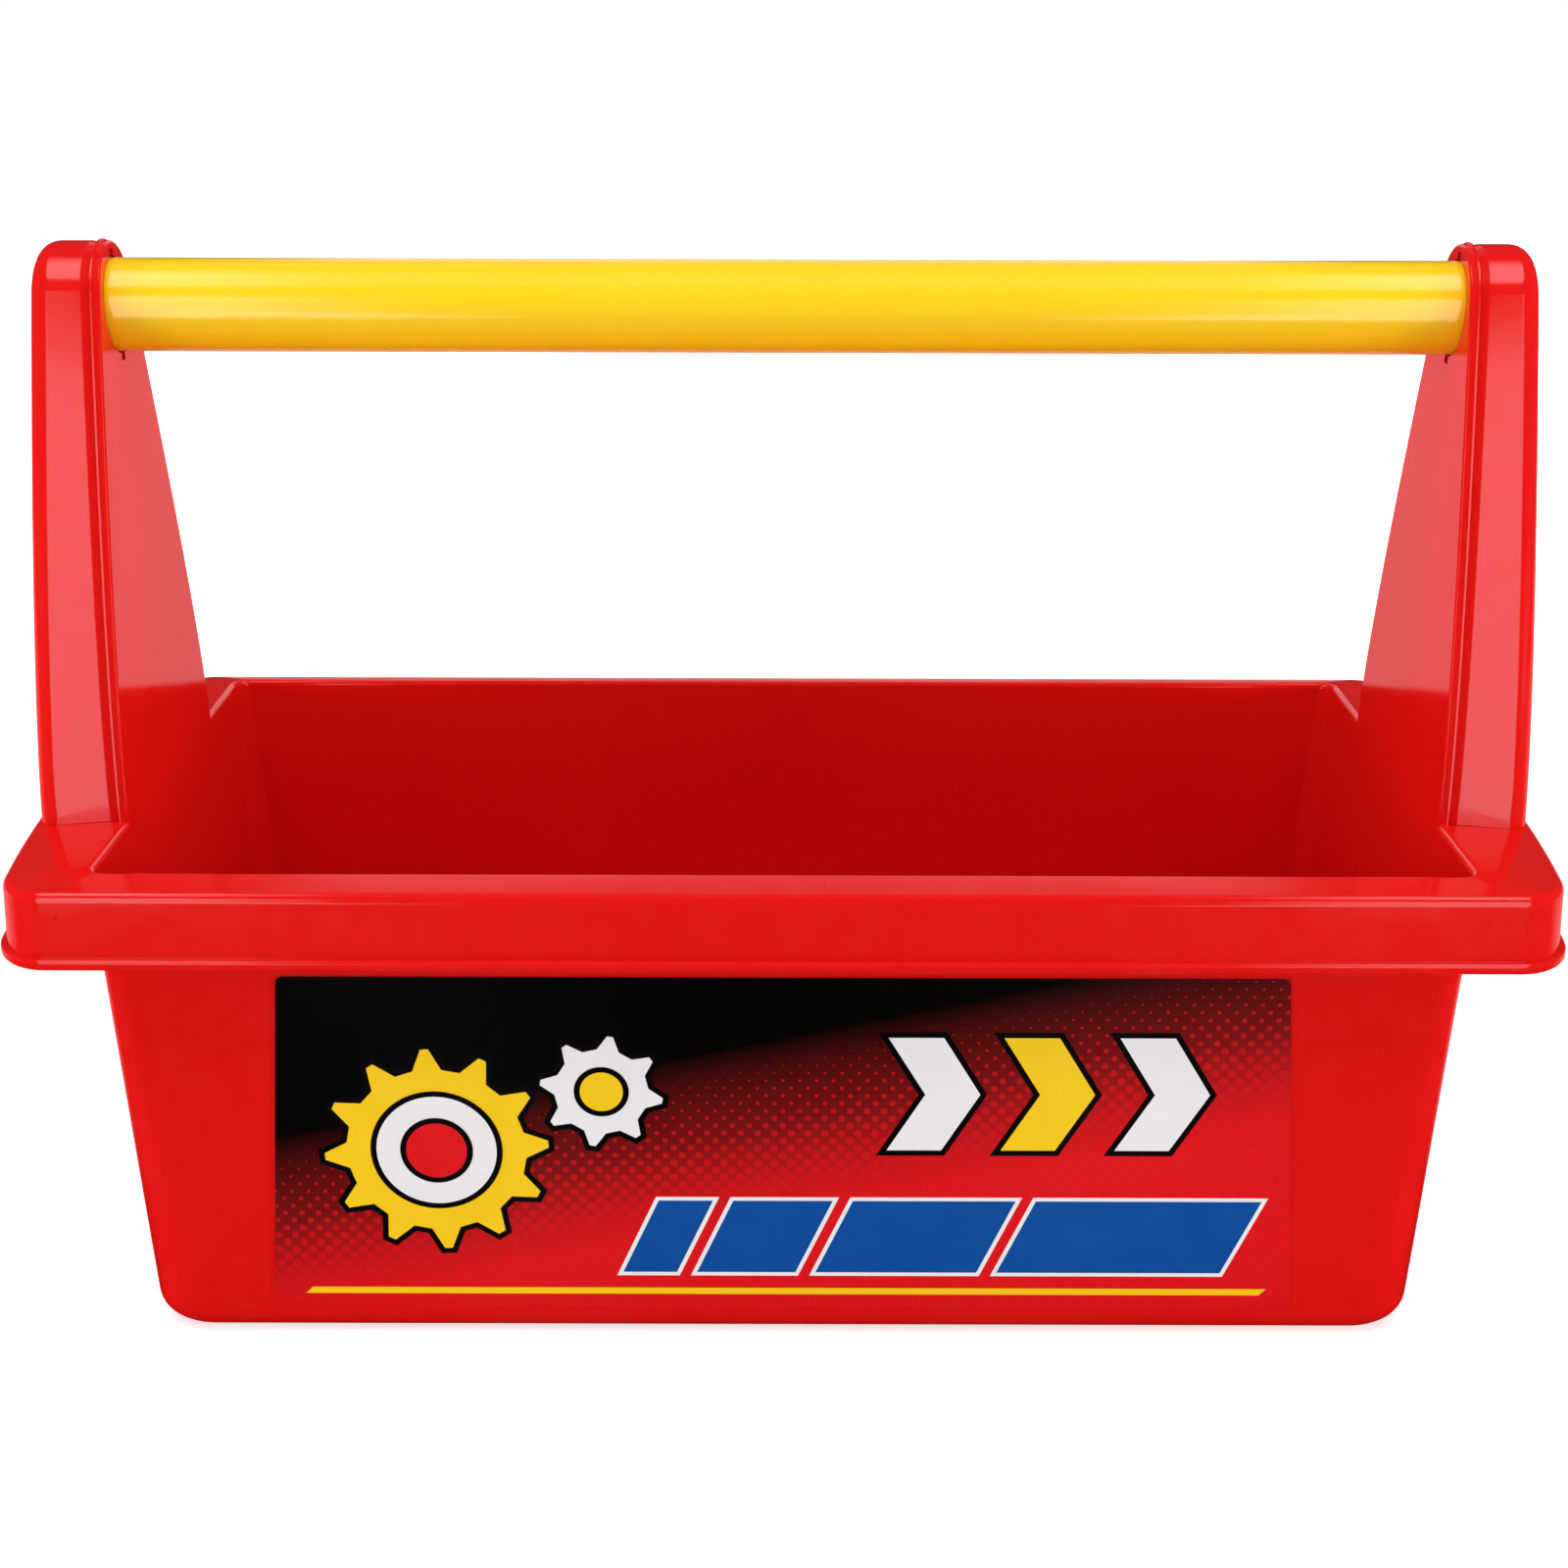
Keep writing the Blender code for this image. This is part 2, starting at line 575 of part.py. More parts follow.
def make_label(parts, material):
    """The printed sheet, laid along the drafted front wall just above the rounded foot edge."""
    label = flat_outline_object("front_label", label_outline(), LABEL_THICKNESS, 0, parts)
    label.data.materials.append(material)
    bottom = BASE_ROUND + LABEL_ABOVE_FOOT_ROUND
    middle = bottom + LABEL_HEIGHT / 2 * math.cos(TUB_DRAFT)
    wall = MOUTH_HALF_WIDTH - (MOUTH_HEIGHT - middle) * math.tan(TUB_DRAFT) + TUB_WALL
    lift = (LABEL_LIFT + LABEL_THICKNESS / 2) / math.cos(TUB_DRAFT)
    label.location = (0, -wall - lift, middle)
    label.rotation_euler = (QUARTER_TURN + TUB_DRAFT, 0, 0)
    return label


def build():
    clear_scene()
    parts = make_collection("toy_tool_box")
    tools = make_collection("cutters")
    red = red_polypropylene()
    make_tub(parts, tools, red)
    make_cover("right_end_cover", 1, parts, tools, red)
    make_cover("left_end_cover", -1, parts, tools, red)
    axis = bpy.data.objects.new("handle_axis", None)
    axis.location = (0, 0, HANDLE_HEIGHT)
    parts.objects.link(axis)
    make_handle(parts, yellow_polypropylene()).parent = axis
    make_label(parts, printed_vinyl())


build()
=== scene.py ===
"""Toy tool box: the finished look of the moulded tub, its two end covers, the handle tube and the printed
label. Metres, +Z up. The long side runs along X and the labelled front faces -Y."""

import json
import math

import bmesh
import bpy
from mathutils import Matrix, Vector

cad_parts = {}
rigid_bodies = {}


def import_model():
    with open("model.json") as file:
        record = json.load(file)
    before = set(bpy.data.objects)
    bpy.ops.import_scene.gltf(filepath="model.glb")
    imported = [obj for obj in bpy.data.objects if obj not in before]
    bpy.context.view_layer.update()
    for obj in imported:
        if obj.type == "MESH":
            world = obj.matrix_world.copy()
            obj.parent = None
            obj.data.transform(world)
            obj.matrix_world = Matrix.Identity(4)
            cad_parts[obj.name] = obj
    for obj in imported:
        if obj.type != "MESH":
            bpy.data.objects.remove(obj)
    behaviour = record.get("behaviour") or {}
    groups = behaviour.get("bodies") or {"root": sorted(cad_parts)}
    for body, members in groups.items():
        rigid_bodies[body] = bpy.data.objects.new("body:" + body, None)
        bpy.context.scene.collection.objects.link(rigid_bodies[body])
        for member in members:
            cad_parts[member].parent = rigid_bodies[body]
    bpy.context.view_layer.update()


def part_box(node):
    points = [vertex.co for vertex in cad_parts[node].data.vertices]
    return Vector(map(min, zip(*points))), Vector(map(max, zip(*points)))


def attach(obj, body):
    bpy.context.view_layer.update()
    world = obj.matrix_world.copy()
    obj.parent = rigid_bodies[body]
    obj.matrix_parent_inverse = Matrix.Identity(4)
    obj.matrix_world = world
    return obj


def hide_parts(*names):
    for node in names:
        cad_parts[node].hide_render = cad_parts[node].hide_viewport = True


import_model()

HALF_TURN = math.pi
QUARTER_TURN = HALF_TURN / 2
MM = 0.001

# Places read from the frame
tub_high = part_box("tub")[1]
handle_low, handle_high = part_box("handle_bar")
cover_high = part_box("right_end_cover")[1]
label_low, label_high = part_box("front_label")

# Rim: a ledge round the mouth, a skirt that hangs from it and a lip at the skirt's foot
LIP_REACH = 1.6 * MM
LIP_HEIGHT = 2.4 * MM
LIP_ROUND = 0.75 * MM
RIM_HALF_LENGTH = tub_high.x - LIP_REACH
RIM_HALF_WIDTH = tub_high.y - LIP_REACH
RIM_HEIGHT = 110.6 * MM
RIM_END_BOW = 6.0 * MM
RIM_CORNER_LENGTH = 9.4 * MM
RIM_CORNER_DEPTH = 13.4 * MM
RIM_EDGE_ROUND = 1.9 * MM
LEDGE_THICKNESS = 2.2 * MM
LEDGE_RISE = 1.6 * MM
LEDGE_TOP = RIM_HEIGHT + LEDGE_RISE
END_LEDGE_WIDTH = 22.3 * MM
SIDE_LEDGE_WIDTH = 8.6 * MM
SKIRT_DEPTH = 16.5 * MM
SKIRT_FOOT = RIM_HEIGHT - SKIRT_DEPTH
SKIRT_WALL = 2.0 * MM
SKIRT_FLARE = 0.3 * MM
SKIRT_CREASE = 0.5 * MM

# Tub: drafted walls, rounded foot edge, raised middle underneath
MOUTH_FILLET = 1.5 * MM
TUB_WALL = 1.6 * MM
TUB_DRAFT = math.radians(2.7)
TUB_CORNER_AT_MOUTH = 3.5 * MM
TUB_CORNER_AT_FLOOR = 11.0 * MM
FLOOR_THICKNESS = 2.4 * MM
FLOOR_FILLET = 5.0 * MM
BASE_ROUND = 6.8 * MM
FOOT_WIDTH = 8.0 * MM
FOOT_HEIGHT = 0.8 * MM
MOUTH_HALF_LENGTH = RIM_HALF_LENGTH - END_LEDGE_WIDTH - MOUTH_FILLET
MOUTH_HALF_WIDTH = RIM_HALF_WIDTH - SIDE_LEDGE_WIDTH - MOUTH_FILLET
MOUTH_HEIGHT = LEDGE_TOP - MOUTH_FILLET

# Ribs under the ledge
RIB_THICKNESS = 1.8 * MM
RIB_DEPTH = 9.0 * MM
RIB_EDGE_SHARE = 0.7
SIDE_RIB_SHARES = (0.28, 0.84)
END_RIB_SHARES = (0.0, 0.80)

# Uprights: plates that lean outwards, with a round head, curved flanks and a fine bead along the outer edge
HANDLE_HEIGHT = (handle_low.z + handle_high.z) / 2
HANDLE_RADIUS = (handle_high.z - handle_low.z) / 2
HANDLE_WALL = 1.6 * MM
HANDLE_END_ROUND = 0.5 * MM
SOCKET_RADIUS = HANDLE_RADIUS + 0.4 * MM
SOCKET_NOTCH_WIDTH = 3.0 * MM
SOCKET_NOTCH_DEPTH = 1.6 * MM
UPRIGHT_BASE_HALF = 43.0 * MM
UPRIGHT_TOP_RADIUS = 14.7 * MM
UPRIGHT_TOP_SLOPE = math.radians(18.5)
UPRIGHT_BASE_SLOPE = math.radians(3.1)
PANEL_THICKNESS = 2.2 * MM
PANEL_EDGE_ROUND = 0.5 * MM
PANEL_EDGE_DRAFT = 0.3 * MM
PANEL_ROOT = 3.0 * MM
PANEL_LEAN = math.radians(2.3)
BEAD_WIDTH = 0.5 * MM
BEAD_RISE = 0.2 * MM
BEAD_ROUND = 0.07 * MM
BEAD_OVERRUN = 0.02 * MM

# End covers: trays whose walls fall away a little beside the seam, with clips through the ledge
COVER_FACE = cover_high.x
COVER_WALL = 2.0 * MM
COVER_ROUND = 5.0 * MM
COVER_INSET = 0.6 * MM
COVER_STEP = 0.4 * MM
COVER_GAP = 0.3 * MM
SEAM_GAP = 0.05 * MM
SEAM_BAND = 2.0 * MM
SEAM_FALL = 0.3 * MM
SEAM_BEND = 0.3 * MM
CLIP_LENGTH = 8.0 * MM
CLIP_THICKNESS = 2.2 * MM
CLIP_ROOT = 5.0 * MM
CLIP_BARB = 0.9 * MM
CLIP_BARB_HEIGHT = 2.8 * MM
CLIP_INSET = 0.9 * MM
CLIP_ROUND_ALLOWANCE = 4.0 * MM

# Label
LABEL_TOP_HALF = 108.5 * MM
LABEL_FOOT_HALF = label_high.x
LABEL_CORNER = 1.3 * MM
LABEL_THICKNESS = 0.25 * MM
LABEL_HEIGHT = (label_high.z - label_low.z) / math.cos(TUB_DRAFT)

# Print on the label: films of ink on odd layers, so that none touches another, placed from the sheet's middle
INK_LAYER = 0.03 * MM
LOW_LAYER, MIDDLE_LAYER, HIGH_LAYER = 1, 3, 5
OUTLINE = 1.3 * MM
THIN_OUTLINE = 0.9 * MM
BIG_COG_PLACE = (-76 * MM, -1 * MM)
BIG_COG_TEETH = 12
BIG_COG_ROOT = 21.0 * MM
BIG_COG_TIP = 26.0 * MM
BIG_COG_FACE = 14.5 * MM
BIG_COG_HUB = 8.0 * MM
SMALL_COG_PLACE = (-39.5 * MM, 13.5 * MM)
SMALL_COG_TEETH = 8
SMALL_COG_ROOT = 11.5 * MM
SMALL_COG_TIP = 14.8 * MM
SMALL_COG_HUB = 6.0 * MM
SMALL_COG_TURN = math.radians(15)
CHEVRON_INKS = ("white", "yellow", "white")
CHEVRON_START = 28 * MM
CHEVRON_STEP = 25 * MM
CHEVRON_MIDDLE = 13 * MM
CHEVRON_WIDTH = 15 * MM
CHEVRON_HEIGHT = 30 * MM
CHEVRON_REACH = 9 * MM
BAND_WIDTHS = (14 * MM, 24 * MM, 38 * MM, 52 * MM)
BAND_SPACE = 2.5 * MM
BAND_START = -37 * MM
BAND_MIDDLE = -22.5 * MM
BAND_HEIGHT = 20 * MM
BAND_SLANT = 9.0 * MM
STRIPE_MIDDLE = -36.5 * MM
STRIPE_LENGTH = 214 * MM
STRIPE_HEIGHT = 1.6 * MM

# Each ink where its film is thin and where it is full
INK_COLOURS = {
    "black": ("080607", "0B0809"),
    "yellow": ("F6C80A", "FBD018"),
    "white": ("E9E9E8", "F0F0EF"),
    "blue": ("004A9A", "0450A4"),
    "red": ("DA0A14", "E20C18"),
}
INKS = tuple(INK_COLOURS)

# The label's ground: how it fades and its halftone dots
FADE_SLOPE = 0.22
FADE_START = 14 * MM
FADE_END = 58 * MM
DOT_PITCH = 2.6 * MM
DOT_TURN = math.radians(45)
DOT_LARGEST_SHARE = 0.48
DOT_INK_SHARE = 0.55

# Sizes of the plastics' and the inks' patterns
CLOUD_SIZE = 38 * MM
FLECK_SPACE = 21 * MM
FLECK_INNER_SHARE = 0.014
FLECK_OUTER_SHARE = 0.024
RUB_SIZE = 5 * MM
WAVE_LENGTH = 26 * MM
WAVE_HEIGHT = 0.25 * MM
DIE_LINE_LENGTH = 160 * MM
DIE_LINE_WIDTH = 0.7 * MM
DIE_LINE_HEIGHT = 0.02 * MM
TUBE_CLOUD_SIZE = 30 * MM
INK_PATCH_SIZE = 9 * MM

# How finely the rounds are divided, and how surfaces are shaded
CORNER_STEPS = 14
END_CUTS = 23
ROUND_STEPS = 8
SMALL_ROUND_STEPS = 4
FLANK_STEPS = 24
TUBE_STEPS = 128
DISC_STEPS = 64
SMOOTH_ANGLE = math.radians(32)
FLAT_FACE_WEIGHT = 80

# What counts as one place, how far a ring is lifted to be bridged, and how far cuts and joints run on
NEAR = 0.02 * MM
BRIDGE_LIFT = 10 * MM
OVERRUN = 1.0 * MM

# The camera, fitted to the photograph, whose optical middle lies below the middle row
PHOTO_PIXELS = 1600
FOCAL_PIXELS = 2600
MIDDLE_ROW_PIXELS = 855.7
SENSOR_WIDTH = 36
CAMERA_PLACE = Vector((0.0001, -0.58287, 0.29278))
CAMERA_PITCH = math.radians(18.841)
CAMERA_ROLL = math.radians(0.157)

# The floor, which glows a little less close to the object, so that its shadow shows
FLOOR_SIZE = 12.0
FLOOR_DROP = 0.1 * MM
FLOOR_NEAR, FLOOR_FAR = 0.35, 1.0
FLOOR_NEAR_GLOW, FLOOR_FAR_GLOW = 0.6, 1.0

# Glowing flats round the object, seen only in reflections: each stop is a direction's share along an axis,
# then its level or colour
TENT_WIDTH = 3.4
TENT_HEIGHT = 2.4
TENT_LIFT = 0.2 * MM
TENT_EYE = 0.1
BOX_LEVEL = 3.0
BOX_ASIDE_STOPS = ((0.21, 0.01), (0.29, 1.0), (0.46, 1.0), (0.54, 0.01))
BOX_HEIGHT_STOPS = ((-0.205, 0.01), (-0.165, 0.86), (0.46, 0.86), (0.52, 0.02), (0.74, 0.02), (0.80, 1.0),
                    (0.97, 1.0), (0.99, 0.05))
# The floor behind glows pale red: a painted reflection of the red light that the object throws on it
BACK_FLOOR_RED_GLOW_STOPS = ((-0.05, "FFA09E"), (-0.02, 0.04))
BACK_HEIGHT_STOPS = ((0.0, 0.0), (0.04, 0.7), (0.60, 0.7), (0.65, 0.15), (0.88, 0.15), (0.92, 0.0))
BACK_START, BACK_FULL = -0.1, 0.2
BACK_MIDDLE_SHARE, BACK_EDGE_SHARE = 0.2, 0.27

# Light: the world's fill, and each soft box with its place, target, size and radiance
WORLD_FILL = 0.34
SOFTBOXES = (
    ("side_softbox", (1.5, -0.57, 0.25), (0, 0, 0.15), (0.9, 0.36), 12.6),
    ("side_softbox", (-1.5, -0.57, 0.25), (0, 0, 0.15), (0.9, 0.36), 12.6),
    ("top_softbox", (0, -0.3, 1.4), (0, 0, 0.1), (1.6, 0.9), 3.0),
    ("back_softbox", (0, 0.8, 1.2), (0, 0, 0.1), (1.8, 0.7), 0.8),
    ("rear_softbox", (0, 1.5, 0.3), (0, 0, 0.12), (1.6, 0.4), 3.0),
)


def deselect_all():
    bpy.ops.object.select_all(action="DESELECT")


def start_piece(name):
    """An empty mesh object, ready in edit mode."""
    deselect_all()
    bpy.ops.object.add(type="MESH")
    piece = bpy.context.object
    piece.name = name
    bpy.ops.object.mode_set(mode="EDIT")
    return piece


def edit_cage():
    return bmesh.from_edit_mesh(bpy.context.edit_object.data)


def select_verts(test):
    bpy.ops.mesh.select_mode(type="VERT")
    bpy.ops.mesh.select_all(action="DESELECT")
    cage = edit_cage()
    for vertex in cage.verts:
        if test(vertex.co):
            vertex.select_set(True)
    cage.select_flush(True)
    bmesh.update_edit_mesh(bpy.context.edit_object.data)


def select_edges(test):
    """Selects the edges whose two ends pass the test, and nothing else."""
    bpy.ops.mesh.select_mode(type="EDGE")
    bpy.ops.mesh.select_all(action="DESELECT")
    for edge in edit_cage().edges:
        if all(test(end.co) for end in edge.verts):
            edge.select_set(True)
    bmesh.update_edit_mesh(bpy.context.edit_object.data)


def near(value, target):
    return abs(value - target) < NEAR


def number_ring(number):
    """Marks the selected vertices, so that the ring can be found again to be bridged."""
    cage = edit_cage()
    layer = cage.verts.layers.int.get("ring") or cage.verts.layers.int.new("ring")
    for vertex in cage.verts:
        if vertex.select:
            vertex[layer] = number


def draw_ring(number, half_length, half_width, corner, height, corner_depth=None, bow=0.0):
    """A rounded rectangle of edges, from a plane whose corners are bevelled and whose ends are bowed."""
    depth_share = (corner_depth or corner) / corner
    straight = half_length - bow
    bpy.ops.mesh.select_mode(type="VERT")
    bpy.ops.mesh.select_all(action="DESELECT")
    bpy.ops.mesh.primitive_plane_add(size=2, location=(0, 0, height))
    bpy.ops.transform.resize(value=(straight, half_width / depth_share, 1), center_override=(0, 0, height))
    bpy.ops.mesh.bevel(offset=corner, segments=CORNER_STEPS, affect="VERTICES")
    bpy.ops.transform.resize(value=(1, depth_share, 1), center_override=(0, 0, height))
    number_ring(number)
    bpy.ops.mesh.delete(type="ONLY_FACE")
    cage = edit_cage()
    layer = cage.verts.layers.int["ring"]
    for edge in cage.edges:
        ends = [end for end in edge.verts if end[layer] == number and near(abs(end.co.x), straight)]
        edge.select_set(len(ends) == 2)
    bmesh.update_edit_mesh(bpy.context.edit_object.data)
    bpy.ops.mesh.subdivide(number_cuts=END_CUTS)
    number_ring(number)
    for vertex in edit_cage().verts:
        if vertex[layer] == number and bow:
            vertex.co.x += math.copysign(bow, vertex.co.x) * (1 - (vertex.co.y / half_width) ** 2)
    bmesh.update_edit_mesh(bpy.context.edit_object.data)


def select_rings(*numbers):
    """Selects the edges that run along the named rings."""
    bpy.ops.mesh.select_mode(type="EDGE")
    bpy.ops.mesh.select_all(action="DESELECT")
    cage = edit_cage()
    layer = cage.verts.layers.int["ring"]
    for edge in cage.edges:
        first, second = (end[layer] for end in edge.verts)
        if first == second and first in numbers:
            edge.select_set(True)
    bmesh.update_edit_mesh(bpy.context.edit_object.data)


def bridge_rings(first, second):
    """Joins two rings. The second is lifted meanwhile, because rings in one plane can join crosswise."""
    select_rings(second)
    bpy.ops.transform.translate(value=(0, 0, BRIDGE_LIFT))
    select_rings(first, second)
    bpy.ops.mesh.bridge_edge_loops()
    select_rings(second)
    bpy.ops.transform.translate(value=(0, 0, -BRIDGE_LIFT))


def round_rings(width, steps, *numbers):
    select_rings(*numbers)
    bpy.ops.mesh.bevel(offset=width, segments=steps, profile=0.5)


def face_outwards():
    bpy.ops.mesh.select_all(action="SELECT")
    bpy.ops.mesh.normals_make_consistent(inside=False)


def make_active(piece):
    deselect_all()
    piece.select_set(True)
    bpy.context.view_layer.objects.active = piece


def finish_editing():
    bpy.ops.object.mode_set(mode="OBJECT")


def add_modifier(piece, kind, **settings):
    """Adds a modifier, sets it and applies it."""
    make_active(piece)
    bpy.ops.object.modifier_add(type=kind)
    modifier = piece.modifiers[-1]
    for key, value in settings.items():
        setattr(modifier, key, value)
    bpy.ops.object.modifier_apply(modifier=modifier.name)


def cut_or_join(piece, tool, operation):
    add_modifier(piece, "BOOLEAN", object=tool, operation=operation, solver="EXACT")
    bpy.data.objects.remove(tool, do_unlink=True)


def turned_copy(piece, name):
    """A copy with its own mesh, turned half round about the upright axis."""
    make_active(piece)
    bpy.ops.object.duplicate()
    copy = bpy.context.object
    copy.name = name
    copy.rotation_euler.z = HALF_TURN
    apply_place(copy)
    return copy


def apply_place(piece):
    make_active(piece)
    bpy.ops.object.transform_apply(location=True, rotation=True, scale=True)


def smooth_surface(piece):
    """Smooth shading whose broad flat faces stay flat right up to their rounded edges."""
    make_active(piece)
    bpy.ops.object.shade_smooth_by_angle(angle=SMOOTH_ANGLE)
    add_modifier(piece, "WEIGHTED_NORMAL", mode="FACE_AREA", weight=FLAT_FACE_WEIGHT, keep_sharp=True)


def wall_size(height, offset):
    """Half length, half width and corner of the drafted wall at a height, moved outwards by the offset."""
    depth = MOUTH_HEIGHT - height
    share = max(0.0, depth / (MOUTH_HEIGHT - FLOOR_THICKNESS))
    corner = TUB_CORNER_AT_MOUTH + (TUB_CORNER_AT_FLOOR - TUB_CORNER_AT_MOUTH) * share
    narrowing = depth * math.tan(TUB_DRAFT)
    return MOUTH_HALF_LENGTH + offset - narrowing, MOUTH_HALF_WIDTH + offset - narrowing, corner + offset


def draw_wall_ring(number, height, offset, inset=0.0):
    length, width, corner = wall_size(height, offset)
    draw_ring(number, length - inset, width - inset, corner - min(inset, BASE_ROUND), height)


def draw_rim_ring(number, height, offset):
    draw_ring(number, RIM_HALF_LENGTH + offset, RIM_HALF_WIDTH + offset, RIM_CORNER_LENGTH + offset, height,
              RIM_CORNER_DEPTH + offset, RIM_END_BOW)


def model_tub_shell():
    """The tub with its ledge and skirt: rings on the real outline, bridged, then rounded ring by ring."""
    shell = start_piece("tub_moulding")
    under = RIM_HEIGHT - LEDGE_THICKNESS
    lip_top = SKIRT_FOOT + LIP_HEIGHT
    draw_wall_ring(1, FOOT_HEIGHT, TUB_WALL, BASE_ROUND + FOOT_WIDTH + FOOT_HEIGHT)
    draw_wall_ring(2, 0.0, TUB_WALL, BASE_ROUND + FOOT_WIDTH)
    draw_wall_ring(3, 0.0, TUB_WALL)
    draw_wall_ring(4, under, TUB_WALL)
    draw_rim_ring(5, under, -SKIRT_WALL)
    draw_rim_ring(6, SKIRT_FOOT, SKIRT_FLARE - SKIRT_WALL)
    draw_rim_ring(7, SKIRT_FOOT, LIP_REACH)
    draw_rim_ring(8, lip_top, LIP_REACH)
    draw_rim_ring(9, lip_top, SKIRT_FLARE)
    draw_rim_ring(10, RIM_HEIGHT, 0.0)
    draw_wall_ring(11, LEDGE_TOP, 0.0)
    draw_wall_ring(12, FLOOR_THICKNESS, 0.0)
    for number in range(1, 12):
        bridge_rings(number, number + 1)
    for number in (1, 12):
        select_rings(number)
        bpy.ops.mesh.edge_face_add()
    face_outwards()
    round_rings(BASE_ROUND, ROUND_STEPS, 3)
    round_rings(FLOOR_FILLET, ROUND_STEPS, 12)
    round_rings(MOUTH_FILLET, ROUND_STEPS, 11)
    round_rings(RIM_EDGE_ROUND, ROUND_STEPS, 10)
    round_rings(LIP_ROUND, SMALL_ROUND_STEPS, 7, 8)
    round_rings(SKIRT_CREASE, SMALL_ROUND_STEPS, 1, 2, 4, 5, 6)
    finish_editing()
    return shell


def upright_flank(inset, base_height):
    """One flank of an upright as (y, z) points, from where the round top ends down to its base."""
    radius = UPRIGHT_TOP_RADIUS - inset
    base = Vector((UPRIGHT_BASE_HALF - inset, base_height))
    top = Vector((radius * math.cos(UPRIGHT_TOP_SLOPE), HANDLE_HEIGHT + radius * math.sin(UPRIGHT_TOP_SLOPE)))
    base_run = math.tan(UPRIGHT_BASE_SLOPE)
    top_run = math.tan(UPRIGHT_TOP_SLOPE)
    bend_height = (top.x - base.x + top_run * top.y - base_run * base.y) / (top_run - base_run)
    bend = Vector((base.x - base_run * (bend_height - base.y), bend_height))
    shares = [step / FLANK_STEPS for step in range(FLANK_STEPS + 1)]
    return [top * (1 - share) ** 2 + bend * 2 * share * (1 - share) + base * share ** 2 for share in shares]


def draw_upright_face(inset, base_height, root_height):
    """The upright's outline as one face in the plane X = 0: a circle's upper part, its flanks drawn down."""
    flank = upright_flank(inset, base_height)
    bpy.ops.mesh.select_mode(type="VERT")
    bpy.ops.mesh.primitive_circle_add(vertices=TUBE_STEPS, radius=UPRIGHT_TOP_RADIUS - inset,
                                      location=(0, 0, HANDLE_HEIGHT), rotation=(0, QUARTER_TURN, 0))
    bpy.ops.mesh.bisect(plane_co=(0, 0, flank[0].y), plane_no=(0, 0, 1), clear_inner=True)
    select_verts(lambda point: near(point.z, flank[0].y))
    for above, below in zip(flank, flank[1:]):
        bpy.ops.mesh.extrude_region_move(TRANSFORM_OT_translate={"value": (0, 0, below.y - above.y)})
        bpy.ops.transform.resize(value=(1, below.x / above.x, 1), center_override=(0, 0, below.y))
    bpy.ops.mesh.extrude_region_move(TRANSFORM_OT_translate={"value": (0, 0, root_height - base_height)})
    bpy.ops.mesh.edge_face_add()
    bpy.ops.mesh.select_all(action="SELECT")
    bpy.ops.mesh.edge_face_add()


def panel_face_at(height):
    """The distance from the middle to an upright's inner face at one height."""
    return MOUTH_HALF_LENGTH + (height - MOUTH_HEIGHT) * math.tan(PANEL_LEAN)


def model_plate(name, start, start_inset, end, end_inset, edge_round, root):
    """An upright's outline drawn from one distance to another behind its inner face, its edges rounded."""
    plate = start_piece(name)
    draw_upright_face(start_inset, LEDGE_TOP, root)
    bpy.ops.transform.translate(value=(start - end, 0, 0))
    bpy.ops.mesh.hide()
    draw_upright_face(end_inset, LEDGE_TOP, root)
    bpy.ops.mesh.reveal()
    bpy.ops.mesh.select_all(action="SELECT")
    bpy.ops.mesh.delete(type="ONLY_FACE")
    bpy.ops.mesh.select_all(action="SELECT")
    bpy.ops.mesh.bridge_edge_loops()
    for side in (start - end, 0):
        select_edges(lambda point: near(point.x, side))
        bpy.ops.mesh.edge_face_add()
    face_outwards()
    select_edges(lambda point: near(point.x, 0) or near(point.x, start - end))
    for edge in edit_cage().edges:
        across = not near(edge.verts[0].co.x, edge.verts[1].co.x)
        at_root = all(near(vertex.co.z, root) for vertex in edge.verts)
        if across or at_root:
            edge.select_set(False)
    bpy.ops.mesh.bevel(offset=edge_round, segments=SMALL_ROUND_STEPS, profile=0.5)
    bpy.ops.mesh.select_all(action="SELECT")
    bpy.ops.transform.translate(value=(end, 0, -MOUTH_HEIGHT))
    finish_editing()
    plate.rotation_euler.y = PANEL_LEAN
    plate.location = (MOUTH_HALF_LENGTH, 0, MOUTH_HEIGHT)
    apply_place(plate)
    return plate


def model_panel():
    """The plate that carries an end wall up to the handle, with a fine bead along its outer edge."""
    inner_inset = BEAD_RISE + PANEL_EDGE_DRAFT
    root = MOUTH_HEIGHT - PANEL_ROOT
    panel = model_plate("upright_panel", 0.0, inner_inset, PANEL_THICKNESS, BEAD_RISE, PANEL_EDGE_ROUND, root)
    bead = model_plate("edge_bead", PANEL_THICKNESS - BEAD_WIDTH, 0.0, PANEL_THICKNESS + BEAD_OVERRUN, 0.0,
                       BEAD_ROUND, root + BEAD_WIDTH)
    cut_or_join(panel, bead, "UNION")
    return panel


def model_rib():
    """One web under the ledge, a little narrower at its free edge."""
    rib = start_piece("ledge_rib")
    bpy.ops.mesh.primitive_cube_add(size=1)
    bpy.ops.transform.resize(value=(RIB_THICKNESS, RIB_THICKNESS, RIB_DEPTH))
    select_verts(lambda point: point.z < 0)
    bpy.ops.transform.resize(value=(RIB_EDGE_SHARE, 1, 1))
    finish_editing()
    return rib


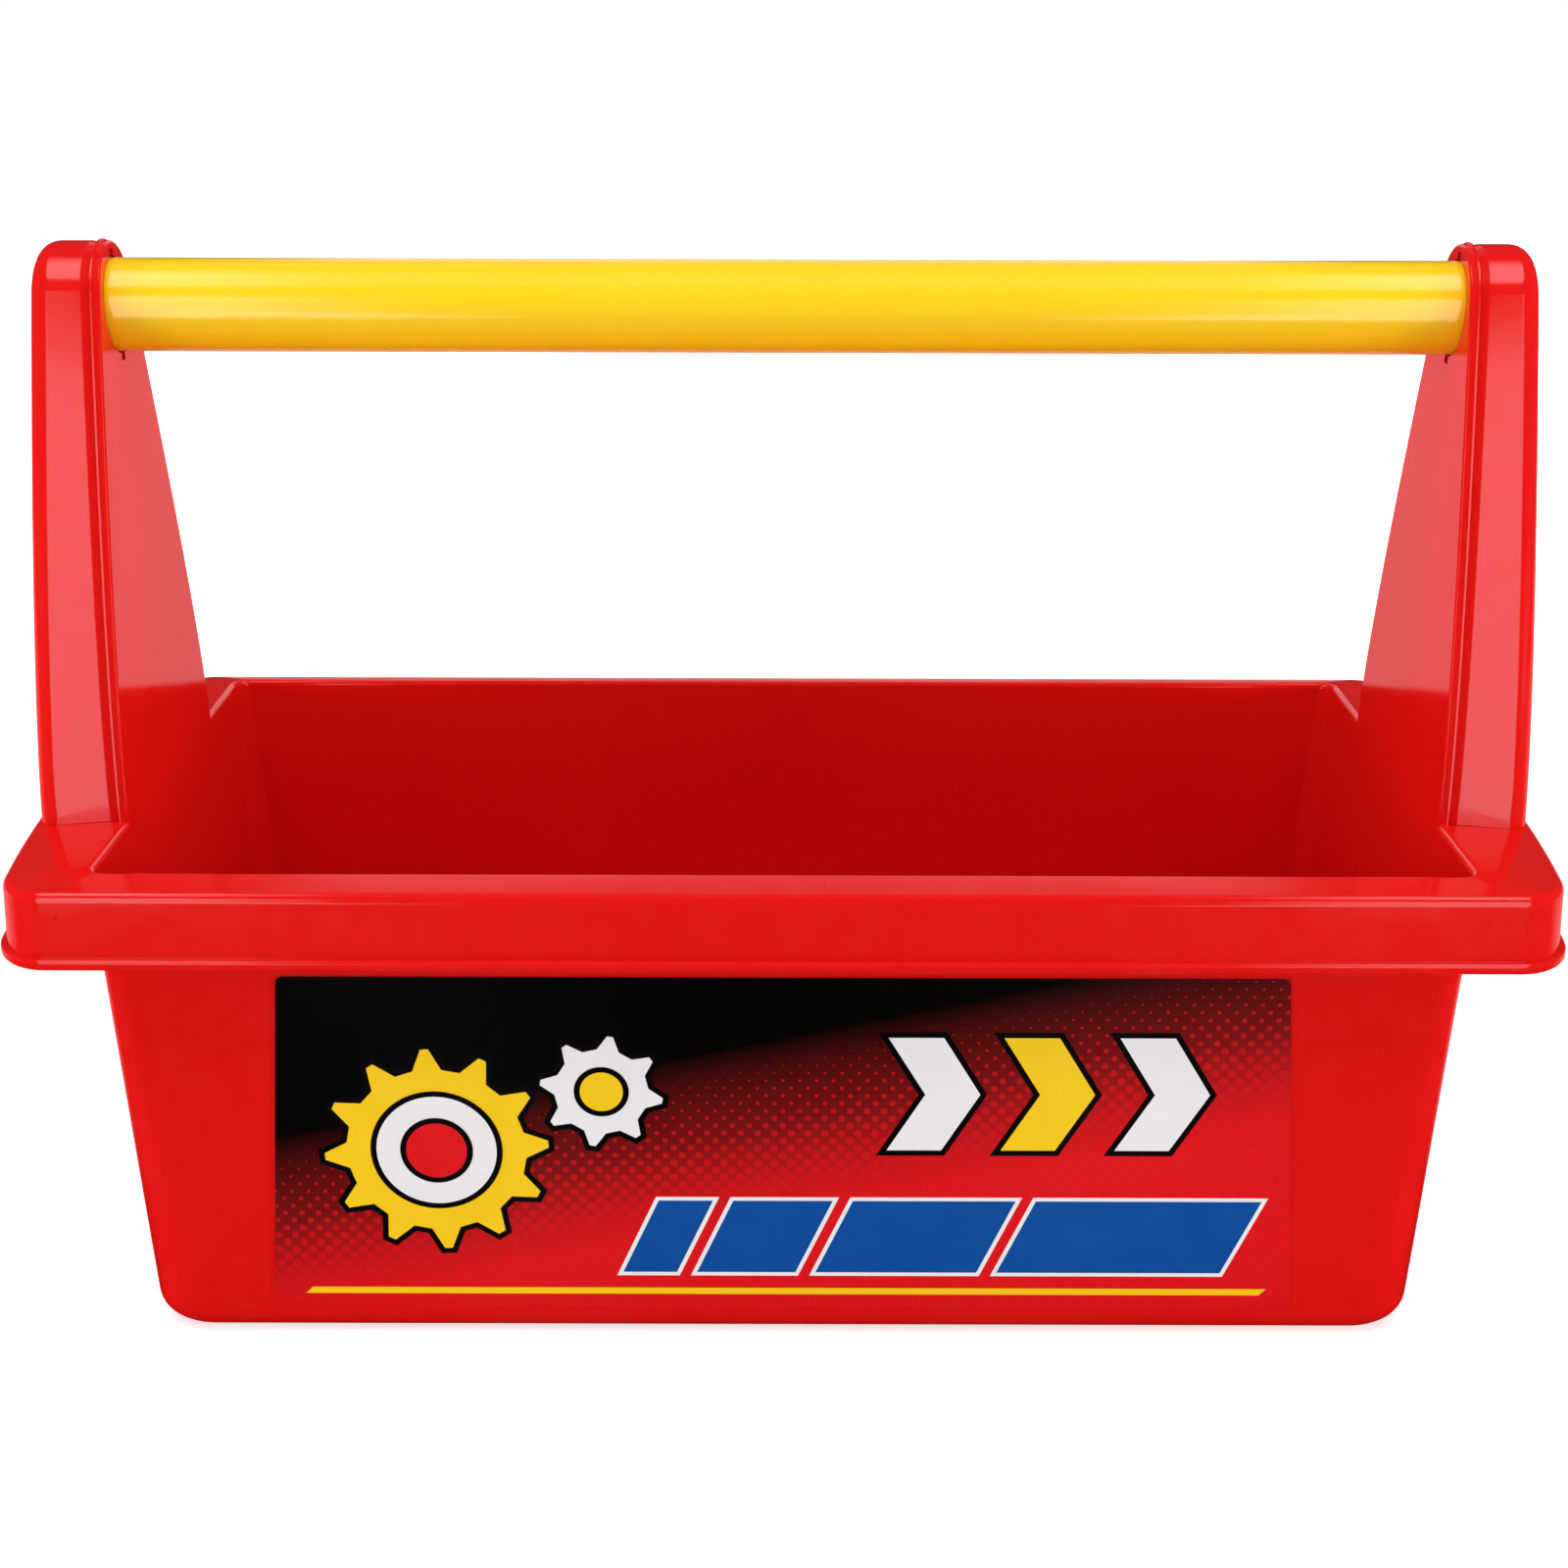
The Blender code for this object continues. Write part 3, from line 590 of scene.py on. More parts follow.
def rib_places():
    """Where each web runs: its middle across the channel, its length and whether it lies along X."""
    side_in = MOUTH_HALF_WIDTH + TUB_WALL - OVERRUN
    side_out = RIM_HALF_WIDTH - SKIRT_WALL + OVERRUN
    side_middle = (side_in + side_out) / 2
    end_in = MOUTH_HALF_LENGTH + TUB_WALL - OVERRUN
    for share in SIDE_RIB_SHARES:
        for sign_x in (1, -1):
            for sign_y in (1, -1):
                yield sign_x * share * MOUTH_HALF_LENGTH, sign_y * side_middle, side_out - side_in, False
    for share in END_RIB_SHARES:
        y = share * MOUTH_HALF_WIDTH
        end_out = RIM_HALF_LENGTH - RIM_END_BOW * (y / RIM_HALF_WIDTH) ** 2 - SKIRT_WALL + OVERRUN
        for sign_x in (1, -1):
            for sign_y in ((1, -1) if share else (1,)):
                yield sign_x * (end_in + end_out) / 2, sign_y * y, end_out - end_in, True


def join_ribs(shell):
    rib = model_rib()
    top = RIM_HEIGHT - LEDGE_THICKNESS + OVERRUN
    for x, y, length, along_x in rib_places():
        make_active(rib)
        bpy.ops.object.duplicate()
        web = bpy.context.object
        web.location = (x, y, top - RIB_DEPTH / 2)
        web.scale.y = length / RIB_THICKNESS
        web.rotation_euler.z = QUARTER_TURN if along_x else 0
        apply_place(web)
        cut_or_join(shell, web, "UNION")
    bpy.data.objects.remove(rib, do_unlink=True)


def start_box(name, low, high):
    """A box between two corners, left in edit mode."""
    box = start_piece(name)
    bpy.ops.mesh.primitive_cube_add(size=1)
    bpy.ops.transform.resize(value=tuple(Vector(high) - Vector(low)))
    bpy.ops.transform.translate(value=tuple((Vector(high) + Vector(low)) / 2))
    return box


def cut_box(piece, name, low, high):
    tool = start_box(name, low, high)
    finish_editing()
    cut_or_join(piece, tool, "DIFFERENCE")


def cut_sockets(shell):
    """The round sockets for the handle, the notch above and below each, and the slots for the clips."""
    bpy.ops.mesh.primitive_cylinder_add(vertices=TUBE_STEPS, radius=SOCKET_RADIUS, depth=2 * COVER_FACE,
                                        location=(0, 0, HANDLE_HEIGHT), rotation=(0, QUARTER_TURN, 0))
    bore = bpy.context.object
    apply_place(bore)
    cut_or_join(shell, bore, "DIFFERENCE")
    rise = SOCKET_RADIUS + SOCKET_NOTCH_DEPTH
    half = SOCKET_NOTCH_WIDTH / 2
    cut_box(shell, "notch", (-COVER_FACE, -half, HANDLE_HEIGHT - rise),
            (COVER_FACE, half, HANDLE_HEIGHT + rise))
    start, end, inner, outer = clip_span()
    for sign_x in (1, -1):
        for sign_y in (1, -1):
            xs = sorted((sign_x * (start - COVER_GAP), sign_x * (end + COVER_GAP)))
            ys = sorted((sign_y * (inner - COVER_GAP), sign_y * (outer + COVER_GAP)))
            cut_box(shell, "slot", (xs[0], ys[0], SKIRT_FOOT), (xs[1], ys[1], LEDGE_TOP + OVERRUN))


def clip_span():
    """Where a cover's clips lie along X, and their two faces across Y on the +Y side."""
    middle = (panel_face_at(LEDGE_TOP) + PANEL_THICKNESS + COVER_FACE - CLIP_ROUND_ALLOWANCE) / 2
    outer = UPRIGHT_BASE_HALF - COVER_STEP - CLIP_INSET
    return middle - CLIP_LENGTH / 2, middle + CLIP_LENGTH / 2, outer - CLIP_THICKNESS, outer


def model_tub():
    tub = model_tub_shell()
    panel = model_panel()
    opposite = turned_copy(panel, "opposite_panel")
    cut_or_join(tub, panel, "UNION")
    cut_or_join(tub, opposite, "UNION")
    join_ribs(tub)
    cut_sockets(tub)
    smooth_surface(tub)
    return tub


def ledge_slope():
    """A point and the upward normal of the end ledge's sloping top, raised by the seam's gap."""
    inner = MOUTH_HALF_LENGTH + MOUTH_FILLET
    outer = RIM_HALF_LENGTH - RIM_EDGE_ROUND
    return (inner, 0, LEDGE_TOP + SEAM_GAP), Vector((LEDGE_RISE, 0, outer - inner)).normalized()


def model_cover():
    """A tray: the outer face with its walls drawn in to the panel, the outer edge rounded, the walls falling
    away a little beside the panel, and all of it given its thickness inwards."""
    cover = start_piece("right_cover_moulding")
    base = LEDGE_TOP - LEDGE_RISE
    root = RIM_HEIGHT - LEDGE_THICKNESS
    draw_upright_face(COVER_INSET, base, root)
    bpy.ops.transform.translate(value=(COVER_FACE, 0, 0))
    reach = COVER_FACE - panel_face_at(root)
    bpy.ops.mesh.extrude_region_move(TRANSFORM_OT_translate={"value": (-reach, 0, 0)})
    bpy.ops.mesh.delete(type="ONLY_FACE")
    lean = Vector((math.cos(PANEL_LEAN), 0, -math.sin(PANEL_LEAN)))
    back = Vector((MOUTH_HALF_LENGTH, 0, MOUTH_HEIGHT)) + lean * (PANEL_THICKNESS + SEAM_GAP)
    bpy.ops.mesh.select_all(action="SELECT")
    bpy.ops.mesh.bisect(plane_co=back, plane_no=lean, clear_inner=True)
    face_outwards()
    select_edges(lambda point: near(point.x, COVER_FACE))
    for edge in edit_cage().edges:
        if all(near(end.co.z, root) for end in edge.verts):
            edge.select_set(False)
    bpy.ops.mesh.bevel(offset=COVER_ROUND, segments=ROUND_STEPS, profile=0.5)
    for distance in (SEAM_BAND - SEAM_BEND, SEAM_BAND, SEAM_BAND + SEAM_BEND):
        bpy.ops.mesh.select_all(action="SELECT")
        bpy.ops.mesh.bisect(plane_co=back + lean * distance, plane_no=lean)
    for distance, fall in ((0.0, SEAM_FALL), (SEAM_BAND - SEAM_BEND, SEAM_FALL * SEAM_BEND / SEAM_BAND)):
        select_verts(lambda point: near((point - back).dot(lean), distance))
        bpy.ops.transform.shrink_fatten(value=-fall)
    bpy.ops.mesh.select_all(action="SELECT")
    place, upward = ledge_slope()
    bpy.ops.mesh.bisect(plane_co=place, plane_no=upward, clear_inner=True)
    finish_editing()
    add_modifier(cover, "SOLIDIFY", thickness=COVER_WALL, offset=-1, use_even_offset=True)
    for side in (1, -1):
        cut_or_join(cover, model_clip(side), "UNION")
    smooth_surface(cover)
    return cover


def model_clip(side):
    """A tongue at the foot of a cover wall, with a barb that hooks under the ledge."""
    start, end, inner, outer = clip_span()
    barb_top = RIM_HEIGHT - LEDGE_THICKNESS - COVER_GAP
    clip = start_box("clip", (start, inner, barb_top - CLIP_BARB_HEIGHT), (end, outer, LEDGE_TOP + CLIP_ROOT))
    bpy.ops.mesh.select_all(action="SELECT")
    bpy.ops.mesh.bisect(plane_co=(0, 0, barb_top), plane_no=(0, 0, 1))
    bpy.ops.mesh.select_mode(type="FACE")
    bpy.ops.mesh.select_all(action="DESELECT")
    for face in edit_cage().faces:
        middle = face.calc_center_median()
        face.select_set(near(middle.y, inner) and middle.z < barb_top)
    bpy.ops.mesh.extrude_region_move(TRANSFORM_OT_translate={"value": (0, -CLIP_BARB, 0)})
    face_outwards()
    if side < 0:
        bpy.ops.transform.resize(value=(1, -1, 1), center_override=(0, 0, 0))
        face_outwards()
    finish_editing()
    return clip


def model_handle():
    """The handle tube: an open cylinder given its wall, with both end edges eased."""
    half = handle_high.x
    handle = start_piece("handle_tube")
    bpy.ops.mesh.primitive_cylinder_add(vertices=TUBE_STEPS, radius=HANDLE_RADIUS, depth=2 * half,
                                        end_fill_type="NOTHING", location=(0, 0, HANDLE_HEIGHT),
                                        rotation=(0, QUARTER_TURN, 0))
    finish_editing()
    add_modifier(handle, "SOLIDIFY", thickness=HANDLE_WALL, offset=-1)
    bpy.ops.object.mode_set(mode="EDIT")
    select_edges(lambda point: near(abs(point.x), half))
    for edge in edit_cage().edges:
        radii = [math.hypot(end.co.y, end.co.z - HANDLE_HEIGHT) for end in edge.verts]
        if not near(radii[0], radii[1]):
            edge.select_set(False)
    bpy.ops.mesh.bevel(offset=HANDLE_END_ROUND, segments=SMALL_ROUND_STEPS, profile=0.5)
    finish_editing()
    smooth_surface(handle)
    return handle


def lay_on_wall(sheet):
    """Turns a flat piece up against the tub's drafted front wall, where the label sits."""
    half = LABEL_HEIGHT / 2
    lowest_y = -half * math.sin(TUB_DRAFT) - LABEL_THICKNESS * math.cos(TUB_DRAFT)
    lowest_z = -half * math.cos(TUB_DRAFT) - LABEL_THICKNESS * math.sin(TUB_DRAFT)
    sheet.rotation_euler.x = QUARTER_TURN + TUB_DRAFT
    sheet.location = (0, label_low.y - lowest_y, label_low.z - lowest_z)
    apply_place(sheet)


def model_label():
    """The printed sheet: a plane with rounded corners, its foot wider, laid along the drafted wall."""
    label = start_piece("label_sheet")
    bpy.ops.mesh.primitive_plane_add(size=2)
    bpy.ops.transform.resize(value=(LABEL_FOOT_HALF, LABEL_HEIGHT / 2, 1), center_override=(0, 0, 0))
    select_verts(lambda point: point.y > 0)
    bpy.ops.transform.resize(value=(LABEL_TOP_HALF / LABEL_FOOT_HALF, 1, 1), center_override=(0, 0, 0))
    bpy.ops.mesh.select_all(action="SELECT")
    bpy.ops.mesh.bevel(offset=LABEL_CORNER, segments=ROUND_STEPS, affect="VERTICES")
    bpy.ops.mesh.extrude_region_move(TRANSFORM_OT_translate={"value": (0, 0, LABEL_THICKNESS)})
    face_outwards()
    finish_editing()
    lay_on_wall(label)
    smooth_surface(label)
    return label


def ink_height(layer):
    """How far over the sheet's back a layer's film starts."""
    return LABEL_THICKNESS + (layer - 0.5) * INK_LAYER


def print_shape(outline_ink, fill_ink, outline=OUTLINE):
    """Gives the selected flat shape its film of ink, with an outline of one ink round a fill of another."""
    piece = bpy.context.edit_object
    bpy.ops.mesh.select_linked()
    bpy.ops.mesh.select_mode(type="FACE")
    piece.active_material_index = INKS.index(outline_ink)
    bpy.ops.object.material_slot_assign()
    bpy.ops.mesh.extrude_region_move(TRANSFORM_OT_translate={"value": (0, 0, INK_LAYER)})
    if fill_ink != outline_ink:
        bpy.ops.mesh.inset(thickness=outline)
        piece.active_material_index = INKS.index(fill_ink)
        bpy.ops.object.material_slot_assign()
    bpy.ops.mesh.select_all(action="DESELECT")


def print_disc(x, y, radius, layer, fill_ink):
    bpy.ops.mesh.select_mode(type="VERT")
    bpy.ops.mesh.primitive_circle_add(vertices=DISC_STEPS, radius=radius, fill_type="NGON",
                                      location=(x, y, ink_height(layer)))
    print_shape("black", fill_ink)


def print_cog(x, y, teeth, root, tip, turn, fill_ink):
    """A toothed wheel: a circle of four points a tooth, of which two are drawn out."""
    middle = Vector((x, y, ink_height(LOW_LAYER)))
    bpy.ops.mesh.select_mode(type="VERT")
    bpy.ops.mesh.primitive_circle_add(vertices=4 * teeth, radius=root, fill_type="NGON", location=middle)
    step = QUARTER_TURN / teeth
    for vertex in edit_cage().verts:
        if vertex.select:
            arm = vertex.co - middle
            place = round(math.atan2(arm.y, arm.x) / step)
            vertex.select_set(place % 4 < 2)
    bmesh.update_edit_mesh(bpy.context.edit_object.data)
    bpy.ops.transform.resize(value=(tip / root, tip / root, 1), center_override=middle)
    bpy.ops.mesh.select_linked()
    bpy.ops.transform.rotate(value=turn, orient_axis="Z", center_override=middle)
    print_shape("black", fill_ink)


def print_band(x, y, width, height, slant, outline_ink, fill_ink):
    """A slanted bar, its head moved along from its foot."""
    level = ink_height(LOW_LAYER)
    bpy.ops.mesh.select_mode(type="VERT")
    bpy.ops.mesh.primitive_plane_add(size=1, location=(x, y, level))
    bpy.ops.transform.resize(value=(width, height, 1), center_override=(x, y, level))
    cage = edit_cage()
    for vertex in cage.verts:
        if vertex.select:
            vertex.select_set(vertex.co.y > y)
    bmesh.update_edit_mesh(bpy.context.edit_object.data)
    bpy.ops.transform.translate(value=(slant, 0, 0))
    print_shape(outline_ink, fill_ink, THIN_OUTLINE)


def print_chevron(x, y, fill_ink):
    """An arrow-shaped bar: a grid of two cells whose middle row is drawn forward."""
    level = ink_height(LOW_LAYER)
    bpy.ops.mesh.select_mode(type="VERT")
    bpy.ops.mesh.primitive_grid_add(x_subdivisions=1, y_subdivisions=2, size=1, location=(x, y, level))
    bpy.ops.transform.resize(value=(CHEVRON_WIDTH, CHEVRON_HEIGHT, 1), center_override=(x, y, level))
    for vertex in edit_cage().verts:
        if vertex.select:
            vertex.select_set(near(vertex.co.y, y))
    bmesh.update_edit_mesh(bpy.context.edit_object.data)
    bpy.ops.transform.translate(value=(CHEVRON_REACH, 0, 0))
    print_shape("black", fill_ink)


def model_print():
    """The label's inks over its ground: slanted bands, a stripe, two meshed cogs and three arrows."""
    artwork = start_piece("label_print")
    for ink in INKS:
        artwork.data.materials.append(screen_ink(ink))
    for number, width in enumerate(BAND_WIDTHS):
        x = BAND_START + sum(BAND_WIDTHS[:number]) + number * BAND_SPACE + width / 2
        print_band(x, BAND_MIDDLE, width, BAND_HEIGHT, BAND_SLANT, "white", "blue")
    print_band(0, STRIPE_MIDDLE, STRIPE_LENGTH, STRIPE_HEIGHT, STRIPE_HEIGHT, "yellow", "yellow")
    print_cog(*BIG_COG_PLACE, BIG_COG_TEETH, BIG_COG_ROOT, BIG_COG_TIP, 0.0, "yellow")
    print_disc(*BIG_COG_PLACE, BIG_COG_FACE, MIDDLE_LAYER, "white")
    print_disc(*BIG_COG_PLACE, BIG_COG_HUB, HIGH_LAYER, "red")
    print_cog(*SMALL_COG_PLACE, SMALL_COG_TEETH, SMALL_COG_ROOT, SMALL_COG_TIP, SMALL_COG_TURN, "white")
    print_disc(*SMALL_COG_PLACE, SMALL_COG_HUB, MIDDLE_LAYER, "yellow")
    for number, ink in enumerate(CHEVRON_INKS):
        print_chevron(CHEVRON_START + number * CHEVRON_STEP, CHEVRON_MIDDLE, ink)
    face_outwards()
    finish_editing()
    lay_on_wall(artwork)
    return artwork


def seat(piece, body, node):
    """Makes a finished piece stand for its node and ride on its body."""
    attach(piece, body)
    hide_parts(node)


def linear(code):
    """An sRGB hex colour as the linear values that a shader takes."""
    channels = [int(code[start:start + 2], 16) / 255 for start in (0, 2, 4)]
    curved = [c / 12.92 if c <= 0.04045 else ((c + 0.055) / 1.055) ** 2.4 for c in channels]
    return (*curved, 1.0)


def new_material(name):
    material = bpy.data.materials.new(name)
    material.use_nodes = True
    return material, material.node_tree.nodes["Principled BSDF"]


def add_node(material, kind, settings=None, **inputs):
    """Adds a node with its settings, and fills its inputs with values or with other nodes' outputs. An input
    goes by its name, with _ for a space, or by its number, as in _0."""
    node = material.node_tree.nodes.new(kind)
    for key, value in (settings or {}).items():
        setattr(node, key, value)
    for key, value in inputs.items():
        socket = node.inputs[int(key[1:])] if key[1:].isdigit() else node.inputs[key.replace("_", " ")]
        if isinstance(value, bpy.types.NodeSocket):
            material.node_tree.links.new(value, socket)
        else:
            socket.default_value = value
    return node


def link(material, output, socket):
    material.node_tree.links.new(output, socket)


def moulded_red_polypropylene():
    """Injection-moulded polypropylene from a polished mould: glossy, with the faint long waves and the
    slight cloudiness that cooling leaves, fine rubs, and here and there a dark fleck of colourant."""
    material, shader = new_material("moulded_red_polypropylene")
    place = add_node(material, "ShaderNodeTexCoord").outputs["Object"]
    cloud = add_node(material, "ShaderNodeTexNoise", Vector=place, Scale=1 / CLOUD_SIZE, Detail=3.0)
    shade = add_node(material, "ShaderNodeMix", {"data_type": "RGBA"}, Factor=cloud.outputs["Fac"],
                     _6=linear("DA1412"), _7=linear("E01614"))
    fleck = add_node(material, "ShaderNodeTexVoronoi", Vector=place, Scale=1 / FLECK_SPACE)
    marked = add_node(material, "ShaderNodeMapRange", Value=fleck.outputs["Distance"],
                      From_Min=FLECK_INNER_SHARE, From_Max=FLECK_OUTER_SHARE, To_Min=0.6, To_Max=0.0)
    specked = add_node(material, "ShaderNodeMix", {"data_type": "RGBA"}, Factor=marked.outputs["Result"],
                       _6=shade.outputs[2], _7=linear("6E0A08"))
    link(material, specked.outputs[2], shader.inputs["Base Color"])
    rub = add_node(material, "ShaderNodeTexNoise", Vector=place, Scale=1 / RUB_SIZE, Detail=6.0)
    gloss = add_node(material, "ShaderNodeMapRange", Value=rub.outputs["Fac"], From_Min=0.35, From_Max=0.75,
                     To_Min=0.06, To_Max=0.13)
    link(material, gloss.outputs["Result"], shader.inputs["Roughness"])
    wave = add_node(material, "ShaderNodeTexNoise", Vector=place, Scale=1 / WAVE_LENGTH, Detail=1.0)
    bump = add_node(material, "ShaderNodeBump", Strength=0.5, Distance=WAVE_HEIGHT,
                    Height=wave.outputs["Fac"])
    link(material, bump.outputs["Normal"], shader.inputs["Normal"])
    shader.inputs["IOR"].default_value = 1.49
    return material


def extruded_yellow_polypropylene():
    """Extruded polypropylene tube: the die's fine lines run along it, under a smooth skin that shows as a
    second, softer gloss."""
    material, shader = new_material("extruded_yellow_polypropylene")
    place = add_node(material, "ShaderNodeTexCoord").outputs["Object"]
    along = add_node(material, "ShaderNodeMapping", Vector=place,
                     Scale=(1 / DIE_LINE_LENGTH, 1 / DIE_LINE_WIDTH, 1 / DIE_LINE_WIDTH))
    lines = add_node(material, "ShaderNodeTexNoise", Vector=along.outputs["Vector"], Scale=1.0, Detail=3.0)
    cloud = add_node(material, "ShaderNodeTexNoise", Vector=place, Scale=1 / TUBE_CLOUD_SIZE, Detail=2.0)
    shade = add_node(material, "ShaderNodeMix", {"data_type": "RGBA"}, Factor=cloud.outputs["Fac"],
                     _6=linear("FFCE12"), _7=linear("FFD41C"))
    link(material, shade.outputs[2], shader.inputs["Base Color"])
    gloss = add_node(material, "ShaderNodeMapRange", Value=lines.outputs["Fac"], To_Min=0.12, To_Max=0.2)
    link(material, gloss.outputs["Result"], shader.inputs["Roughness"])
    bump = add_node(material, "ShaderNodeBump", Strength=0.2, Distance=DIE_LINE_HEIGHT,
                    Height=lines.outputs["Fac"])
    link(material, bump.outputs["Normal"], shader.inputs["Normal"])
    shader.inputs["IOR"].default_value = 1.49
    shader.inputs["Coat Weight"].default_value = 0.6
    shader.inputs["Coat Roughness"].default_value = 0.12
    return material


def printed_vinyl():
    """Screen-printed vinyl under a clear film: black runs slantwise into red through a band of halftone dots,
    drawn coarse enough to show."""
    material, shader = new_material("printed_vinyl")
    place = add_node(material, "ShaderNodeTexCoord").outputs["Object"]
    split = add_node(material, "ShaderNodeSeparateXYZ", Vector=place)
    fade = add_node(material, "ShaderNodeMath", {"operation": "MULTIPLY_ADD"}, _0=split.outputs["X"],
                    _1=-FADE_SLOPE, _2=split.outputs["Z"])
    depth = add_node(material, "ShaderNodeMapRange", Value=fade.outputs["Value"],
                     From_Min=label_high.z - FADE_END, From_Max=label_high.z - FADE_START)
    ground = add_node(material, "ShaderNodeValToRGB", Fac=depth.outputs["Result"])
    for element, (position, colour) in zip(ground.color_ramp.elements, ((0.0, "E20A14"), (1.0, "060303"))):
        element.position = position
        element.color = linear(colour)
    middle = ground.color_ramp.elements.new(0.5)
    middle.color = linear("7C0A0C")
    turned = add_node(material, "ShaderNodeMapping", Vector=place, Rotation=(0, DOT_TURN, 0),
                      Scale=(1 / DOT_PITCH, 1 / DOT_PITCH, 1 / DOT_PITCH))
    flat = add_node(material, "ShaderNodeVectorMath", {"operation": "MULTIPLY"}, _0=turned.outputs["Vector"],
                    _1=(1, 0, 1))
    cell = add_node(material, "ShaderNodeVectorMath", {"operation": "FRACTION"}, _0=flat.outputs["Vector"])
    centred = add_node(material, "ShaderNodeVectorMath", {"operation": "SUBTRACT"}, _0=cell.outputs["Vector"],
                       _1=(0.5, 0, 0.5))
    away = add_node(material, "ShaderNodeVectorMath", {"operation": "LENGTH"}, _0=centred.outputs["Vector"])
    reach = add_node(material, "ShaderNodeMapRange", Value=depth.outputs["Result"], From_Min=0.15,
                     From_Max=0.95, To_Min=DOT_LARGEST_SHARE, To_Max=0.0)
    dots = add_node(material, "ShaderNodeMath", {"operation": "LESS_THAN"}, _0=away.outputs["Value"],
                    _1=reach.outputs["Result"])
    shown = add_node(material, "ShaderNodeMath", {"operation": "MULTIPLY"}, _0=dots.outputs["Value"],
                     _1=DOT_INK_SHARE)
    colour = add_node(material, "ShaderNodeMix", {"data_type": "RGBA"}, Factor=shown.outputs["Value"],
                      _6=ground.outputs["Color"], _7=linear("D80A12"))
    link(material, colour.outputs[2], shader.inputs["Base Color"])
    shader.inputs["Roughness"].default_value = 0.18
    shader.inputs["IOR"].default_value = 1.52
    return material


def screen_ink(ink):
    """A film of screen ink on vinyl: even and glossy, a little thinner here and there."""
    material, shader = new_material(f"screen_ink_{ink}")
    place = add_node(material, "ShaderNodeTexCoord").outputs["Object"]
    film = add_node(material, "ShaderNodeTexNoise", Vector=place, Scale=1 / INK_PATCH_SIZE, Detail=3.0)
    thin, full = INK_COLOURS[ink]
    shade = add_node(material, "ShaderNodeMix", {"data_type": "RGBA"}, Factor=film.outputs["Fac"],
                     _6=linear(thin), _7=linear(full))
    link(material, shade.outputs[2], shader.inputs["Base Color"])
    gloss = add_node(material, "ShaderNodeMapRange", Value=film.outputs["Fac"], To_Min=0.14, To_Max=0.22)
    link(material, gloss.outputs["Result"], shader.inputs["Roughness"])
    shader.inputs["IOR"].default_value = 1.52
    return material


def dress(piece, material):
    piece.data.materials.clear()
    piece.data.materials.append(material)


def place_camera():
    bpy.ops.object.camera_add(location=CAMERA_PLACE)
    camera = bpy.context.object
    turn = Matrix.Rotation(QUARTER_TURN - CAMERA_PITCH, 4, "X") @ Matrix.Rotation(CAMERA_ROLL, 4, "Z")
    camera.matrix_world = Matrix.Translation(CAMERA_PLACE) @ turn
    camera.data.sensor_width = SENSOR_WIDTH
    camera.data.lens = SENSOR_WIDTH * FOCAL_PIXELS / PHOTO_PIXELS
    camera.data.shift_y = (MIDDLE_ROW_PIXELS - PHOTO_PIXELS / 2) / PHOTO_PIXELS
    camera.data.clip_start = 10 * MM
    bpy.context.scene.camera = camera


def seen_by_eye(material):
    """One for a ray from the camera, a reflection or a clear piece, and nought for any other."""
    path = add_node(material, "ShaderNodeLightPath")
    seen = add_node(material, "ShaderNodeMath", {"operation": "MAXIMUM"}, _0=path.outputs["Is Camera Ray"],
                    _1=path.outputs["Is Glossy Ray"])
    also = add_node(material, "ShaderNodeMath", {"operation": "MAXIMUM"}, _0=seen.outputs["Value"],
                    _1=path.outputs["Is Transmission Ray"])
    return also.outputs["Value"]


def studio_paper():
    """Pale matt paper: white to the eye and to reflections, and it still takes the object's shadow."""
    material, shader = new_material("pale_studio_paper")
    shader.inputs["Base Color"].default_value = linear("F2F2F2")
    shader.inputs["Roughness"].default_value = 0.9
    shader.inputs["Specular IOR Level"].default_value = 0.0
    seen = seen_by_eye(material)
    place = add_node(material, "ShaderNodeTexCoord").outputs["Object"]
    away = add_node(material, "ShaderNodeVectorMath", {"operation": "LENGTH"}, _0=place)
    lift = add_node(material, "ShaderNodeMapRange", Value=away.outputs["Value"], From_Min=FLOOR_NEAR,
                    From_Max=FLOOR_FAR, To_Min=FLOOR_NEAR_GLOW, To_Max=FLOOR_FAR_GLOW)
    glow = add_node(material, "ShaderNodeMath", {"operation": "MULTIPLY"}, _0=seen, _1=lift.outputs["Result"])
    shader.inputs["Emission Color"].default_value = linear("FFFFFF")
    link(material, glow.outputs["Value"], shader.inputs["Emission Strength"])
    return material


def place_floor():
    deselect_all()
    bpy.ops.mesh.primitive_plane_add(size=FLOOR_SIZE, location=(0, 0, -FLOOR_DROP))
    floor = bpy.context.object
    floor.name = "floor"
    dress(floor, studio_paper())


